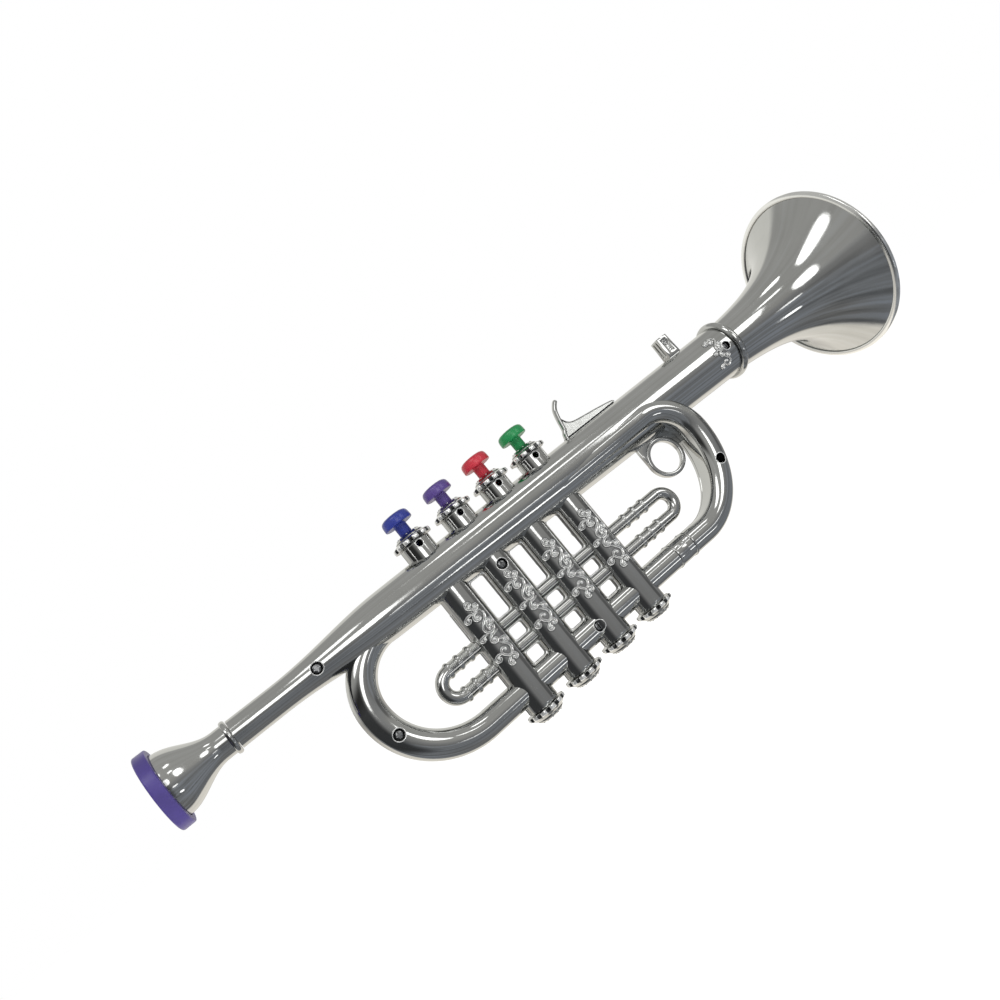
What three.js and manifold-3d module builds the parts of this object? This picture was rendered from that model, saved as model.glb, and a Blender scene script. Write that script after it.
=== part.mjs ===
// Toy trumpet with four keys: two half shells screwed together round a reed block.
// Millimetres. +X runs from the mouthpiece to the bell, +Z points to the keys, and -Y is the front.
// The solids are laid out from the mouthpiece face on the tube's axis, and the finished group is
// moved so that its origin is the hand grip in the middle of the valve block.

import * as THREE from 'three'
import { mergeVertices } from 'three/addons/utils/BufferGeometryUtils.js'
import Module from 'manifold-3d'

const wasm = await Module()
wasm.setup()

// Whole instrument
const length = 370
const wall = 1.6
const seatGap = 0.3
const overrun = 3

// Places along the tube from the mouthpiece face, and lengths along it, as shares of the whole length
const wideningStartShare = 0.12703
const wideningLengthShare = 0.13514
const tubeEndShare = 0.79054
const leadpipeScrewShare = 0.17270
const firstValveShare = 0.32838
const valvePitchShare = 0.05541
const leftBendReachShare = 0.18919
const leftTopCentreShare = 0.24865
const leftBottomCentreShare = 0.27297
const rightBendReachShare = 0.67568
const rightTopCentreShare = 0.62622
const rightBottomCentreShare = 0.60000
const slideLeftCentreShare = 0.27135
const slideRightCentreShare = 0.58622
const hookStartShare = 0.54270
const socketCentreShare = 0.73351
const wideningStart = length * wideningStartShare
const wideningLength = length * wideningLengthShare
const tubeEnd = length * tubeEndShare
const leadpipeScrew = length * leadpipeScrewShare
const firstValve = length * firstValveShare
const valvePitch = length * valvePitchShare
const leftBendReach = length * leftBendReachShare
const leftTopCentre = length * leftTopCentreShare
const leftBottomCentre = length * leftBottomCentreShare
const rightBendReach = length * rightBendReachShare
const rightTopCentre = length * rightTopCentreShare
const rightBottomCentre = length * rightBottomCentreShare
const slideLeftCentre = length * slideLeftCentreShare
const slideRightCentre = length * slideRightCentreShare
const hookStart = length * hookStartShare
const socketCentre = length * socketCentreShare

// Main tube: a narrow leadpipe that widens into a slowly growing cone
const leadpipeRadius = 5.6
const coneStartRadius = 9.55
const coneEndRadius = 12.6

// Mouthpiece
const rimRadius = 14.7
const rimWidth = 4.8
const rimCorner = 0.9
const rimOpeningRadius = 9.6
const rimFrontThickness = 2.2
const cupFlangeRadius = 12
const cupConeLength = 19
const cupBoreRadius = 2.4
const cupBowlDepth = 16
const cupBeadRadius = 6.6
const cupBeadWidth = 2
const cupBeadRound = 0.5
const cupShankRadius = 3.6
const cupShankLength = 9
const cupNeckLength = 3.4
const tubeStart = rimWidth + cupConeLength + cupNeckLength + cupBeadWidth + seatGap

// Bell
const bellRimRadius = 44.3
const bellThroatRadius = 12.3
const bellBeadRadius = 14.6
const bellBeadWidth = 3.4
const bellSpigotLength = 12
const bellLipWidth = 1.6
const bellLipRound = 0.5
const bellLipFace = 1.3
const bellSlowShare = 0.29
const bellSlowPowerShare = 1.29
const bellFastPowerShare = 3.87

// Valve block: four casings and four key towers on one pitch
const valveCount = 4
const casingRadius = 6.7
const casingBottom = 64.2
const towerRadius = 6.7
const towerTop = 15.2
const towerWall = 1.4
const ventRadius = 1.4
const ventHeight = 13.4

// Big loop of pipe: left and right bends joined by a top run in the tube and a bottom run
const pipeRadius = 5.4
const leftPipeRadius = 5.9
const bottomRun = 55.5
const topRunLeft = 3.9
const topRunRight = 1.7
const leftBendMiddle = 26
const rightBendMiddle = 20
const loopFrontRise = 7.6
const loopRisePowerShare = 1.2

// Small slide: a narrow ring of rod that crosses all the casings
const slideRodRadius = 2.7
const slideUpper = 31
const slideLower = 41.8

// Keys
const keyHeadRadius = 6.2
const keyHeadBottom = 24.5
const keyHeadTop = 29.2
const keyHeadDome = 1.7
const keyStemRadius = 2.65
const keyFlangeRadius = 3.9
const keyFlangeThickness = 1.4
const keySpindleRadius = 1.3
const keyEndRadius = 2.2
const keyEndThickness = 0.9

// Scalloped caps on the towers and under the casings
const capGap = 1.45
const capRadius = valvePitch / 2 - capGap
const capLobeDepth = 1
const capLobes = 12
const towerCapThickness = 2
const towerCapDomeRadius = 5.2
const towerCapTop = 19.9
const towerCapRoof = 17
const towerCapLip = 0.3
const capSkirtWall = 0.7
const bottomCapThickness = 1.9
const bottomCapDomeRadius = 5.2
const bottomCapEnd = 69.2
const bottomCapPlug = 2.7

// Reed block, plate, reeds, pads and springs inside the tube
const blockHalfWidth = 5.4
const blockTop = 5.6
const blockBottom = 4.6
const blockWall = 1.3
const collarTop = 9
const collarWall = 0.9
const portRadius = 2.6
const padRadius = 3.8
const padThickness = 1.5
const reedPlateThickness = 1.2
const reedPlateHalfWidth = 4.6
const reedLength = 13
const reedWidth = 2.4
const reedThickness = 0.4
const reedSlotMargin = 0.4
const reedSlotShare = 0.75
const springWireRadius = 0.3
const springRadius = 3.2
const springTurns = 5
const springTurnSteps = 6
const springSides = 4

// Screws
const screwHeadRadius = 2
const screwHeadThickness = 1.3
const screwShankRadius = 1
const screwRecessWidth = 0.7
const screwRecessDepth = 0.7
const screwRecessReachShare = 0.7
const screwDomeShare = 0.33
const bossRadius = 2.9
const screwSink = 0.5
const screwGrip = 3.6
const loopScrewDepth = 8
const bendScrewDrop = 36.6
const valveScrewDrop = 12.6
const pipeScrewOffset = 5.2
const bellScrewInset = 4.1
const bellScrewRadius = 1.6
const bellScrewLength = 3.2
const bellScrewHead = 0.9
const bellScrewHoleRadius = 2

// Finger ring and its web, in the corner under the tube
const ringBand = 2
const ringCornerShare = 0.3
const ringClearance = 3.6
const ringShift = 1.8
const ringSink = 1.3
const ringRadius = rightBendReach - rightTopCentre - pipeRadius - ringClearance
const ringHoleRadius = ringRadius - ringBand
const ringCentreX = rightTopCentre + ringShift
const ringDrop = rightBendMiddle + ringSink
const ringHalfThickness = 1.5
const webHalfThickness = 1
const webDrop = 20.6
const tongue = 0.8

// Finger hook on top of the tube
const hookFootLength = 31
const hookHeight = 18.1
const hookHalfWidth = 1.7
const hookTongueHalf = 0.8
const hookTongueStartShare = 0.2
const hookTongueEndShare = 0.8

// Lyre socket on top of the tube
const socketWidth = 6.9
const socketPocket = 4.5
const socketHeight = 9.6
const socketFloor = 1.4
const socketTongueShare = 0.5

// Facets
const tubeSides = 28
const casingSides = 20
const pipeSides = 12
const innerPipeSides = 8
const smallSides = 8
const bellSides = 36
const bellSteps = 9
const mouthSides = 24
const mouthSteps = 4
const keySides = 14
const domeSteps = 3
const bendSteps = 7
const topRunSteps = 3

// The tube's outer radius at a place along it
function tubeRadiusAt(x) {
  const coneShare = (x - wideningStart - wideningLength) / (tubeEnd - wideningStart - wideningLength)
  const cone = THREE.MathUtils.lerp(coneStartRadius, coneEndRadius, coneShare)
  const widening = THREE.MathUtils.clamp((x - wideningStart) / wideningLength, 0, 1)
  return THREE.MathUtils.lerp(leadpipeRadius, cone, (1 - Math.cos(Math.PI * widening)) / 2)
}

// How close the middle of a casing's facet lies to the axis, as a share of its corners' distance
const facetShare = Math.cos(Math.PI / casingSides)

const valveCentres = Array.from({ length: valveCount }, (_, i) => firstValve + i * valvePitch)
const keyNames = ['blue', 'purple', 'red', 'green']

// Values from 0 to 1 in equal steps
const shares = (steps) => Array.from({ length: steps + 1 }, (_, i) => i / steps)

// A closed three.js geometry as a solid, with its faces pointing out
function solid(geometry) {
  const bare = geometry.clone()
  bare.deleteAttribute('normal')
  bare.deleteAttribute('uv')
  const merged = mergeVertices(bare)
  const places = merged.attributes.position
  const corners = Array.from(merged.index.array)
  const point = (i) => new THREE.Vector3().fromBufferAttribute(places, i)
  const faces = []
  let volume = 0
  for (let i = 0; i < corners.length; i += 3) {
    const [a, b, c] = corners.slice(i, i + 3)
    if (a !== b && b !== c && c !== a) {
      faces.push([a, b, c])
      volume += point(a).dot(point(b).cross(point(c)))
    }
  }
  const outward = volume > 0 ? faces : faces.map(([a, b, c]) => [a, c, b])
  return new wasm.Manifold(new wasm.Mesh({
    numProp: 3,
    vertProperties: new Float32Array(places.array),
    triVerts: new Uint32Array(outward.flat()),
  }))
}

const joined = (solids) => solids.reduce((whole, piece) => whole.add(piece))

// A lathe about the Y axis from [distance, radius] pairs
function lathe(profile, sides) {
  return new THREE.LatheGeometry(profile.map(([along, radius]) => new THREE.Vector2(radius, along)), sides)
}

const closed = (profile) => [...profile, profile[0]]
const rod = (from, to, radius) => [[from, 0], [from, radius], [to, radius], [to, 0]]

// Turned about the tube's axis, about an upright line at x, and about a line from front to back
const turned = (profile, sides) => solid(lathe(profile, sides).rotateZ(-Math.PI / 2))
const upright = (x, profile, sides) => solid(lathe(profile, sides).rotateX(Math.PI / 2).translate(x, 0, 0))
const crosswise = (x, z, profile, sides) => solid(lathe(profile, sides).translate(x, 0, z))

// A box between its lowest and highest corners
function block(low, high) {
  const [a, b] = [new THREE.Vector3(...low), new THREE.Vector3(...high)]
  const size = b.clone().sub(a)
  const middle = a.clone().add(b).divideScalar(2)
  return solid(new THREE.BoxGeometry(...size).translate(...middle))
}

// A side-view outline of [x, z] points, made thick along Y
function plate(outline, half) {
  const shape = new THREE.Shape(outline.map(([x, z]) => new THREE.Vector2(x, z)))
  const geometry = new THREE.ExtrudeGeometry(shape, { depth: 2 * half, bevelEnabled: false })
  return solid(geometry.rotateX(Math.PI / 2).translate(0, half, 0))
}

// A closed loop of pipe: each ring of points is joined to the next, and the last to the first
function ringLoop(rings) {
  const sides = rings[0].length
  const index = []
  rings.forEach((_, i) => {
    const here = i * sides
    const next = ((i + 1) % rings.length) * sides
    for (let j = 0; j < sides; j += 1) {
      const k = (j + 1) % sides
      index.push(here + j, next + j, next + k, here + j, next + k, here + k)
    }
  })
  const geometry = new THREE.BufferGeometry()
  geometry.setAttribute('position', new THREE.Float32BufferAttribute(rings.flat(2), 3))
  geometry.setIndex(index)
  return solid(geometry)
}

// Points on an elliptical bend in the side view, between two angles in quarter turns
function bend(centreX, centreZ, reachX, reachZ, from, to) {
  return shares(bendSteps).map((share) => {
    const angle = THREE.MathUtils.lerp(from, to, share) * Math.PI / 2
    return { x: centreX + reachX * Math.cos(angle), z: centreZ + reachZ * Math.sin(angle), angle }
  })
}

// Sections along a route: a round pipe, drawn out towards the front by the route's rise
function pipeAlong(route, shrink, sides) {
  const rings = route.map((here, i) => {
    const before = route[(i + route.length - 1) % route.length]
    const after = route[(i + 1) % route.length]
    const way = new THREE.Vector2(after.x - before.x, after.z - before.z).normalize()
    const radius = here.radius - shrink
    const ring = (share, rise) => {
      const angle = share * Math.PI
      const out = radius * Math.cos(angle)
      return [here.x - way.y * out, -rise - radius * Math.sin(angle), here.z + way.x * out]
    }
    const half = shares(sides / 2)
    return [...half.map((s) => ring(s, here.rise)), ...half.map((s) => ring(s + 1, 0))]
  })
  return ringLoop(rings)
}

// Route of the big loop, anticlockwise in the side view from the left end of the top run
function bigLoopRoute() {
  const leftTop = bend(leftTopCentre, -leftBendMiddle, leftTopCentre - leftBendReach,
    leftBendMiddle - topRunLeft, 1, 2)
  const leftBottom = bend(leftBottomCentre, -leftBendMiddle, leftBottomCentre - leftBendReach,
    bottomRun - leftBendMiddle, 2, 3).slice(1)
  const rightBottom = bend(rightBottomCentre, -rightBendMiddle, rightBendReach - rightBottomCentre,
    bottomRun - rightBendMiddle, 3, 4)
  const rightTop = bend(rightTopCentre, -rightBendMiddle, rightBendReach - rightTopCentre,
    rightBendMiddle - topRunRight, 0, 1).slice(1)
  const lastValve = valveCentres[valveCount - 1]
  const bottomRise = (x) => {
    const share = Math.max(0, (x - lastValve) / (rightBendReach - lastValve))
    return loopFrontRise * share ** loopRisePowerShare
  }
  const topRise = (x) =>
    loopFrontRise * Math.min(1, (x - leftTopCentre) / (rightTopCentre - leftTopCentre))
  const bottomRunPoints = shares(bendSteps).slice(1, -1).map((share) => ({
    x: THREE.MathUtils.lerp(leftBottomCentre, rightBottomCentre, share),
    z: -bottomRun,
  }))
  const topRunPoints = shares(topRunSteps).slice(1, -1).map((share) => ({
    x: THREE.MathUtils.lerp(rightTopCentre, leftTopCentre, share),
    z: -THREE.MathUtils.lerp(topRunRight, topRunLeft, share),
  }))
  const leftRadius = (angle) => THREE.MathUtils.lerp(pipeRadius, leftPipeRadius, Math.abs(Math.cos(angle)))
  return [
    ...[...leftTop, ...leftBottom].map((p) => ({ ...p, radius: leftRadius(p.angle), rise: 0 })),
    ...[...bottomRunPoints, ...rightBottom].map((p) =>
      ({ ...p, radius: pipeRadius, rise: bottomRise(p.x) })),
    ...[...rightTop, ...topRunPoints].map((p) => ({ ...p, radius: pipeRadius, rise: topRise(p.x) })),
  ]
}

// Route of the small slide: two legs through the casings and a half-round bend at each end
function slideRoute() {
  const middle = -(slideUpper + slideLower) / 2
  const reach = (slideLower - slideUpper) / 2
  const left = bend(slideLeftCentre, middle, reach, reach, 1, 3)
  const right = bend(slideRightCentre, middle, reach, reach, 3, 5)
  return [...left, ...right].map((p) => ({ ...p, radius: slideRodRadius, rise: 0 }))
}

// The tube's outside, or its cavity when the radius is shrunk by the wall and the ends overrun
function mainTube(shrink, extra, sides) {
  const places = [tubeStart, ...shares(bendSteps).map((s) => wideningStart + wideningLength * s), tubeEnd]
  const profile = places.map((x) => [x, tubeRadiusAt(x) - shrink])
  const first = [tubeStart - extra, leadpipeRadius - shrink]
  const last = [tubeEnd + extra, coneEndRadius - shrink]
  return turned([[first[0], 0], first, ...profile, last, [last[0], 0]], sides)
}

// Places of the shell screws: the front surface there, and how deep the head is sunk
const leftScrewX = leftBottomCentre - (leftBottomCentre - leftBendReach)
  * Math.sqrt(1 - ((bendScrewDrop - leftBendMiddle) / (bottomRun - leftBendMiddle)) ** 2)
const rightScrewX = rightBottomCentre + (rightBendReach - rightBottomCentre)
  * Math.sqrt(1 - ((bendScrewDrop - rightBendMiddle) / (bottomRun - rightBendMiddle)) ** 2)
const shellScrews = [
  { name: 'leadpipe', x: leadpipeScrew, z: 0, face: tubeRadiusAt(leadpipeScrew), sink: screwSink },
  { name: 'left_bend', x: leftScrewX, z: -bendScrewDrop, face: leftPipeRadius, sink: screwSink },
  { name: 'valve', x: valveCentres[1], z: -valveScrewDrop, face: casingRadius, sink: screwSink },
  {
    name: 'bottom_run',
    x: valveCentres[2] - pipeScrewOffset,
    z: -bottomRun,
    face: pipeRadius,
    sink: screwSink,
  },
  {
    name: 'right_bend',
    x: rightScrewX,
    z: -bendScrewDrop,
    face: loopFrontRise + pipeRadius,
    sink: loopScrewDepth,
  },
]
const headSeat = (screw) => screw.face - screw.sink - screwHeadThickness

// A screw seen from the front: domed head with a cross recess, and its shank towards the back
function screwSolid(x, z, headFront, head, headThickness, shank, shankEnd) {
  const profile = [
    [headFront, 0],
    [headFront, head / 2],
    [headFront + headThickness * screwDomeShare, head],
    [headFront + headThickness, head],
    [headFront + headThickness, shank],
    [shankEnd, shank],
    [shankEnd, 0],
  ]
  const half = screwRecessWidth / 2
  const arm = head * screwRecessReachShare
  const recess = (halfX, halfZ) => block([x - halfX, headFront - overrun, z - halfZ],
    [x + halfX, headFront + screwRecessDepth, z + halfZ])
  return crosswise(x, z, profile, smallSides).subtract(recess(arm, half).add(recess(half, arm)))
}

// The web of the finger ring, or its slot in the shells when a margin is given
function ringWeb(margin) {
  const inner = rightBendReach - rightTopCentre - pipeRadius
  const half = webHalfThickness + margin
  const round = rod(-half, half, inner + tongue + margin)
  const disc = crosswise(rightTopCentre, -rightBendMiddle, round, tubeSides)
  const top = -tubeRadiusAt(ringCentreX) + tongue + margin
  return disc.intersect(block([ringCentreX - ringRadius, -overrun, -webDrop - margin],
    [rightBendReach, overrun, top]))
}

// The tongue that holds a fitting on top of the tube, or its slot when a margin is given
function topTongue(from, to, margin) {
  const bottom = tubeRadiusAt(from) - tongue - margin
  const half = hookTongueHalf + margin
  return block([from - margin, -half, bottom], [to + margin, half, tubeRadiusAt(to) + seatGap + tongue])
}

const hookTongueFrom = hookStart + hookFootLength * hookTongueStartShare
const hookTongueTo = hookStart + hookFootLength * hookTongueEndShare
const socketTongueFrom = socketCentre - socketWidth * socketTongueShare / 2
const socketTongueTo = socketCentre + socketWidth * socketTongueShare / 2

// Both half shells before they are parted: outer forms less one joined cavity, with screw bosses
function wholeShell() {
  const casing = (x, shrink, extra, sides) =>
    upright(x, rod(-casingBottom - extra, 0, casingRadius - shrink), sides)
  const tower = (x, shrink, extra, sides) =>
    upright(x, rod(tubeRadiusAt(x) / 2, towerTop + extra, towerRadius - shrink), sides)
  const route = bigLoopRoute()
  const outside = joined([
    mainTube(0, 0, tubeSides),
    pipeAlong(route, 0, pipeSides),
    pipeAlong(slideRoute(), 0, innerPipeSides),
    ...valveCentres.map((x) => casing(x, 0, 0, casingSides)),
    ...valveCentres.map((x) => tower(x, 0, 0, casingSides)),
  ])
  const cavity = joined([
    mainTube(wall, overrun, tubeSides),
    pipeAlong(route, wall, innerPipeSides),
    ...valveCentres.map((x) => casing(x, wall, overrun, casingSides)),
    ...valveCentres.map((x) => tower(x, towerWall, overrun, casingSides)),
  ])
  const bosses = joined(shellScrews.map((screw) =>
    crosswise(screw.x, screw.z, rod(-screw.face, screwGrip + wall, bossRadius), smallSides)))
  return outside.subtract(cavity).add(bosses.intersect(outside))
}

// Everything that is cut from one half: room for screws, vents, the web and the tongues
function shellCuts(isFront) {
  const bore = (screw) => {
    const hole = rod(-screw.face - overrun, screwGrip + seatGap, screwShankRadius + seatGap)
    const sinkHole = rod(-screw.face - overrun, -headSeat(screw) + seatGap, screwHeadRadius + seatGap)
    const shaft = crosswise(screw.x, screw.z, hole, smallSides)
    return isFront ? shaft.add(crosswise(screw.x, screw.z, sinkHole, smallSides)) : shaft
  }
  const vent = rod(-towerRadius - overrun, 0, ventRadius)
  const vents = valveCentres.map((x) => crosswise(x, ventHeight, vent, smallSides))
  const bellScrewRoom = rod(-coneEndRadius - overrun, 0, bellScrewHoleRadius)
  const bellHole = crosswise(tubeEnd - bellScrewInset, 0, bellScrewRoom, smallSides)
  return joined([
    ...shellScrews.map(bore),
    ...(isFront ? [...vents, bellHole] : []),
    ringWeb(seatGap),
    topTongue(hookTongueFrom, hookTongueTo, seatGap),
    topTongue(socketTongueFrom, socketTongueTo, seatGap),
  ])
}

function halfShell(whole, isFront) {
  const near = seatGap / 2
  const half = isFront
    ? block([0, -length, -length], [length, -near, length])
    : block([0, near, -length], [length, length, length])
  return whole.intersect(half).subtract(shellCuts(isFront))
}

// Purple ring that the lips touch, seated over the flange of the cup
function mouthpieceRim() {
  const seatRadius = cupFlangeRadius + seatGap
  return turned(closed([
    [rimCorner, rimOpeningRadius],
    [0, rimOpeningRadius + rimCorner],
    [0, rimRadius - rimCorner],
    [rimCorner, rimRadius],
    [rimWidth - rimCorner, rimRadius],
    [rimWidth, rimRadius - rimCorner],
    [rimWidth, seatRadius],
    [rimFrontThickness, seatRadius],
    [rimFrontThickness, rimOpeningRadius],
  ]), mouthSides)
}

// Cup: bowl and bore inside, cone outside, then a bead and the shank that plugs into the leadpipe
function mouthpieceCup() {
  const face = rimFrontThickness + seatGap
  const beadEnd = tubeStart - seatGap
  const beadStart = beadEnd - cupBeadWidth
  const shankEnd = beadEnd + cupShankLength
  const cone = shares(mouthSteps).map((share) => [
    rimWidth + cupConeLength * share,
    THREE.MathUtils.lerp(cupFlangeRadius, leadpipeRadius, (1 - Math.cos(Math.PI * share)) / 2),
  ])
  const bowl = shares(mouthSteps).map((share) => [
    face + cupBowlDepth * (1 - share),
    THREE.MathUtils.lerp(cupBoreRadius, rimOpeningRadius, Math.sin(share * Math.PI / 2)),
  ])
  return turned(closed([
    [face, cupFlangeRadius],
    ...cone,
    [beadStart, leadpipeRadius],
    [beadStart + cupBeadRound, cupBeadRadius],
    [beadEnd - cupBeadRound, cupBeadRadius],
    [beadEnd, cupBeadRadius - cupBeadRound],
    [beadEnd, cupShankRadius],
    [shankEnd, cupShankRadius],
    [shankEnd, cupBoreRadius],
    ...bowl,
  ]), mouthSides)
}

// Bell: spigot in the tube, bead collar, flare and a rolled lip with a flat face
function bell() {
  const spigotRadius = tubeRadiusAt(tubeEnd - bellSpigotLength) - wall - 2 * seatGap
  const flareStart = tubeEnd + seatGap + bellBeadWidth
  const flareLength = length - flareStart
  const slow = bellSlowPowerShare
  const fast = bellFastPowerShare
  const spread = bellRimRadius - bellThroatRadius
  const radiusAt = (share) =>
    bellThroatRadius + spread * (bellSlowShare * share ** slow + (1 - bellSlowShare) * share ** fast)
  const slopeAt = (share) => spread / flareLength
    * (bellSlowShare * slow * share ** (slow - 1) + (1 - bellSlowShare) * fast * share ** (fast - 1))
  const lipStart = 1 - bellLipWidth / flareLength
  const places = shares(bellSteps).map((share) => lipStart * Math.sin(share * Math.PI / 2))
  const along = (share) => flareStart + flareLength * share
  const outside = places.map((share) => [along(share), radiusAt(share)])
  const inside = places.map((share) => [along(share), radiusAt(share) - wall * Math.hypot(1, slopeAt(share))])
  const beadStart = tubeEnd + seatGap
  const spigotStart = tubeEnd - bellSpigotLength
  const flared = turned(closed([
    [spigotStart, spigotRadius],
    [beadStart, spigotRadius],
    [beadStart, bellBeadRadius - bellLipRound],
    [beadStart + bellLipRound, bellBeadRadius],
    [flareStart - bellLipRound, bellBeadRadius],
    ...outside,
    [length - bellLipWidth, bellRimRadius - bellLipRound],
    [length - bellLipWidth + bellLipRound, bellRimRadius],
    [length - bellLipRound, bellRimRadius],
    [length, bellRimRadius - bellLipRound],
    [length, bellRimRadius - bellLipRound - bellLipFace],
    ...inside.reverse(),
    [spigotStart, spigotRadius - wall],
  ]), bellSides)
  const pilot = rod(-coneEndRadius, 0, screwShankRadius + seatGap)
  return flared.subtract(crosswise(tubeEnd - bellScrewInset, 0, pilot, smallSides))
}

function shellScrew(screw) {
  return screwSolid(screw.x, screw.z, -headSeat(screw) - screwHeadThickness,
    screwHeadRadius, screwHeadThickness, screwShankRadius, screwGrip)
}

function bellScrew() {
  const x = tubeEnd - bellScrewInset
  const front = -tubeRadiusAt(x) + screwSink
  return screwSolid(x, 0, front, bellScrewRadius, bellScrewHead, screwShankRadius, front + bellScrewLength)
}

// Heights of the key and what it carries, at rest
const padTop = blockTop - blockWall - seatGap
const keyEndTop = padTop - padThickness - seatGap
const keyFlangeTop = towerCapRoof - seatGap
const keyFlangeBottom = keyFlangeTop - keyFlangeThickness
const springBottom = blockTop + seatGap
const springTop = keyFlangeBottom - seatGap

// Mushroom key: domed head, stem, flange that meets the cap, spindle and the end that lifts the pad
function key(x) {
  const dome = shares(domeSteps).map((share) => [
    keyHeadTop - keyHeadDome * (1 - Math.cos(share * Math.PI / 2)),
    keyHeadRadius * Math.sin(share * Math.PI / 2),
  ])
  return upright(x, [
    ...dome,
    [keyHeadBottom + keyEndThickness, keyHeadRadius],
    [keyHeadBottom, keyHeadRadius - keyEndThickness],
    [keyHeadBottom, keyStemRadius],
    [keyFlangeTop, keyStemRadius],
    [keyFlangeTop, keyFlangeRadius],
    [keyFlangeBottom, keyFlangeRadius],
    [keyFlangeBottom, keySpindleRadius],
    [keyEndTop, keySpindleRadius],
    [keyEndTop, keyEndRadius],
    [keyEndTop - keyEndThickness, keyEndRadius],
    [keyEndTop - keyEndThickness, 0],
  ], keySides)
}

// Rubber washer under the port of its cell
function pad(x) {
  const boreRadius = keySpindleRadius + seatGap
  return upright(x, closed([
    [padTop, boreRadius],
    [padTop, padRadius],
    [padTop - padThickness, padRadius],
    [padTop - padThickness, boreRadius],
  ]), keySides)
}

// Helical return spring between the block and the key flange
function keySpring(x) {
  class Helix extends THREE.Curve {
    getPoint(share, target = new THREE.Vector3()) {
      const angle = share * springTurns * 2 * Math.PI
      const height = THREE.MathUtils.lerp(springBottom + springWireRadius, springTop - springWireRadius, share)
      return target.set(x + springRadius * Math.cos(angle), springRadius * Math.sin(angle), height)
    }
  }
  const section = Array.from({ length: springSides }, (_, i) => {
    const angle = (i / springSides) * 2 * Math.PI
    return new THREE.Vector2(springWireRadius * Math.cos(angle), springWireRadius * Math.sin(angle))
  })
  return solid(new THREE.ExtrudeGeometry(new THREE.Shape(section), {
    steps: springTurns * springTurnSteps,
    bevelEnabled: false,
    extrudePath: new Helix(),
  }))
}

// A disc with a scalloped edge about an upright line
function scalloped(x, low, high) {
  const count = 2 * capLobes
  const outline = Array.from({ length: count }, (_, i) => {
    const radius = capRadius - capLobeDepth * (i % 2)
    const angle = (i / count) * 2 * Math.PI
    return new THREE.Vector2(radius * Math.cos(angle), radius * Math.sin(angle))
  })
  const disc = new THREE.ExtrudeGeometry(new THREE.Shape(outline), { depth: high - low, bevelEnabled: false })
  return solid(disc.translate(x, 0, low))
}

// Cap that guides the key stem: scalloped flange, low dome, and a lip inside the tower
function towerCap(x) {
  const bottom = towerTop + seatGap
  const top = bottom + towerCapThickness
  const lipRadius = (towerRadius - towerWall) * facetShare - seatGap
  const dome = upright(x, [
    [bottom - seatGap - towerCapLip, 0],
    [bottom - seatGap - towerCapLip, lipRadius],
    [bottom, lipRadius],
    [bottom, capRadius - capLobeDepth],
    [top, capRadius - capLobeDepth],
    [towerCapTop - capSkirtWall, towerCapDomeRadius],
    [towerCapTop, towerCapDomeRadius - capSkirtWall],
    [towerCapTop, 0],
  ], 2 * capLobes)
  const room = upright(x, rod(0, towerCapRoof, lipRadius - capSkirtWall), keySides)
  const stemHole = upright(x, rod(0, towerCapTop + overrun, keyStemRadius + seatGap), keySides)
  return dome.add(scalloped(x, bottom, top)).subtract(room.add(stemHole))
}

// Crown that closes a casing from below: plug, scalloped flange and a low dome
function bottomCap(x) {
  const top = -casingBottom - seatGap
  const low = top - bottomCapThickness
  const plugRadius = (casingRadius - wall) * facetShare - seatGap
  const crown = upright(x, [
    [-casingBottom + bottomCapPlug, 0],
    [-casingBottom + bottomCapPlug, plugRadius],
    [top, plugRadius],
    [top, capRadius - capLobeDepth],
    [low, capRadius - capLobeDepth],
    [-bottomCapEnd + capSkirtWall, bottomCapDomeRadius],
    [-bottomCapEnd, bottomCapDomeRadius - capSkirtWall],
    [-bottomCapEnd, 0],
  ], 2 * capLobes)
  return crown.add(scalloped(x, low, top))
}

// Sound block: one cell for each key, open below, with a port and a spring collar above
const cellHalf = (valvePitch - blockWall) / 2

function reedBlock() {
  const collarRadius = towerRadius - towerWall - seatGap
  const ends = [firstValve - cellHalf - blockWall, valveCentres[valveCount - 1] + cellHalf + blockWall]
  const body = block([ends[0], -blockHalfWidth, -blockBottom], [ends[1], blockHalfWidth, blockTop])
  const inner = blockHalfWidth - blockWall
  const cells = valveCentres.map((x) => block([x - cellHalf, -inner, -blockBottom - overrun],
    [x + cellHalf, inner, blockTop - blockWall]))
  const collars = valveCentres.map((x) => upright(x, rod(0, collarTop, collarRadius), keySides))
  const sockets = valveCentres.map((x) =>
    upright(x, rod(blockTop, collarTop + overrun, collarRadius - collarWall), keySides))
  const ports = valveCentres.map((x) => upright(x, rod(0, blockTop + overrun, portRadius), keySides))
  return joined([body, ...collars]).subtract(joined([...cells, ...sockets, ...ports]))
}

const plateTop = -blockBottom - seatGap

function reedPlate() {
  const low = plateTop - reedPlateThickness
  const ends = [firstValve - cellHalf - blockWall, valveCentres[valveCount - 1] + cellHalf + blockWall]
  const body = block([ends[0], -reedPlateHalfWidth, low], [ends[1], reedPlateHalfWidth, plateTop])
  const halfSlot = reedWidth / 2 + reedSlotMargin
  const slots = valveCentres.map((x) => {
    const tip = x + reedLength / 2
    return block([tip - reedLength * reedSlotShare, -halfSlot, low - overrun],
      [tip + reedSlotMargin, halfSlot, plateTop + overrun])
  })
  return body.subtract(joined(slots))
}

// Brass tongue above its slot in the plate
function reed(x) {
  const low = plateTop + seatGap
  return block([x - reedLength / 2, -reedWidth / 2, low],
    [x + reedLength / 2, reedWidth / 2, low + reedThickness])
}

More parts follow.
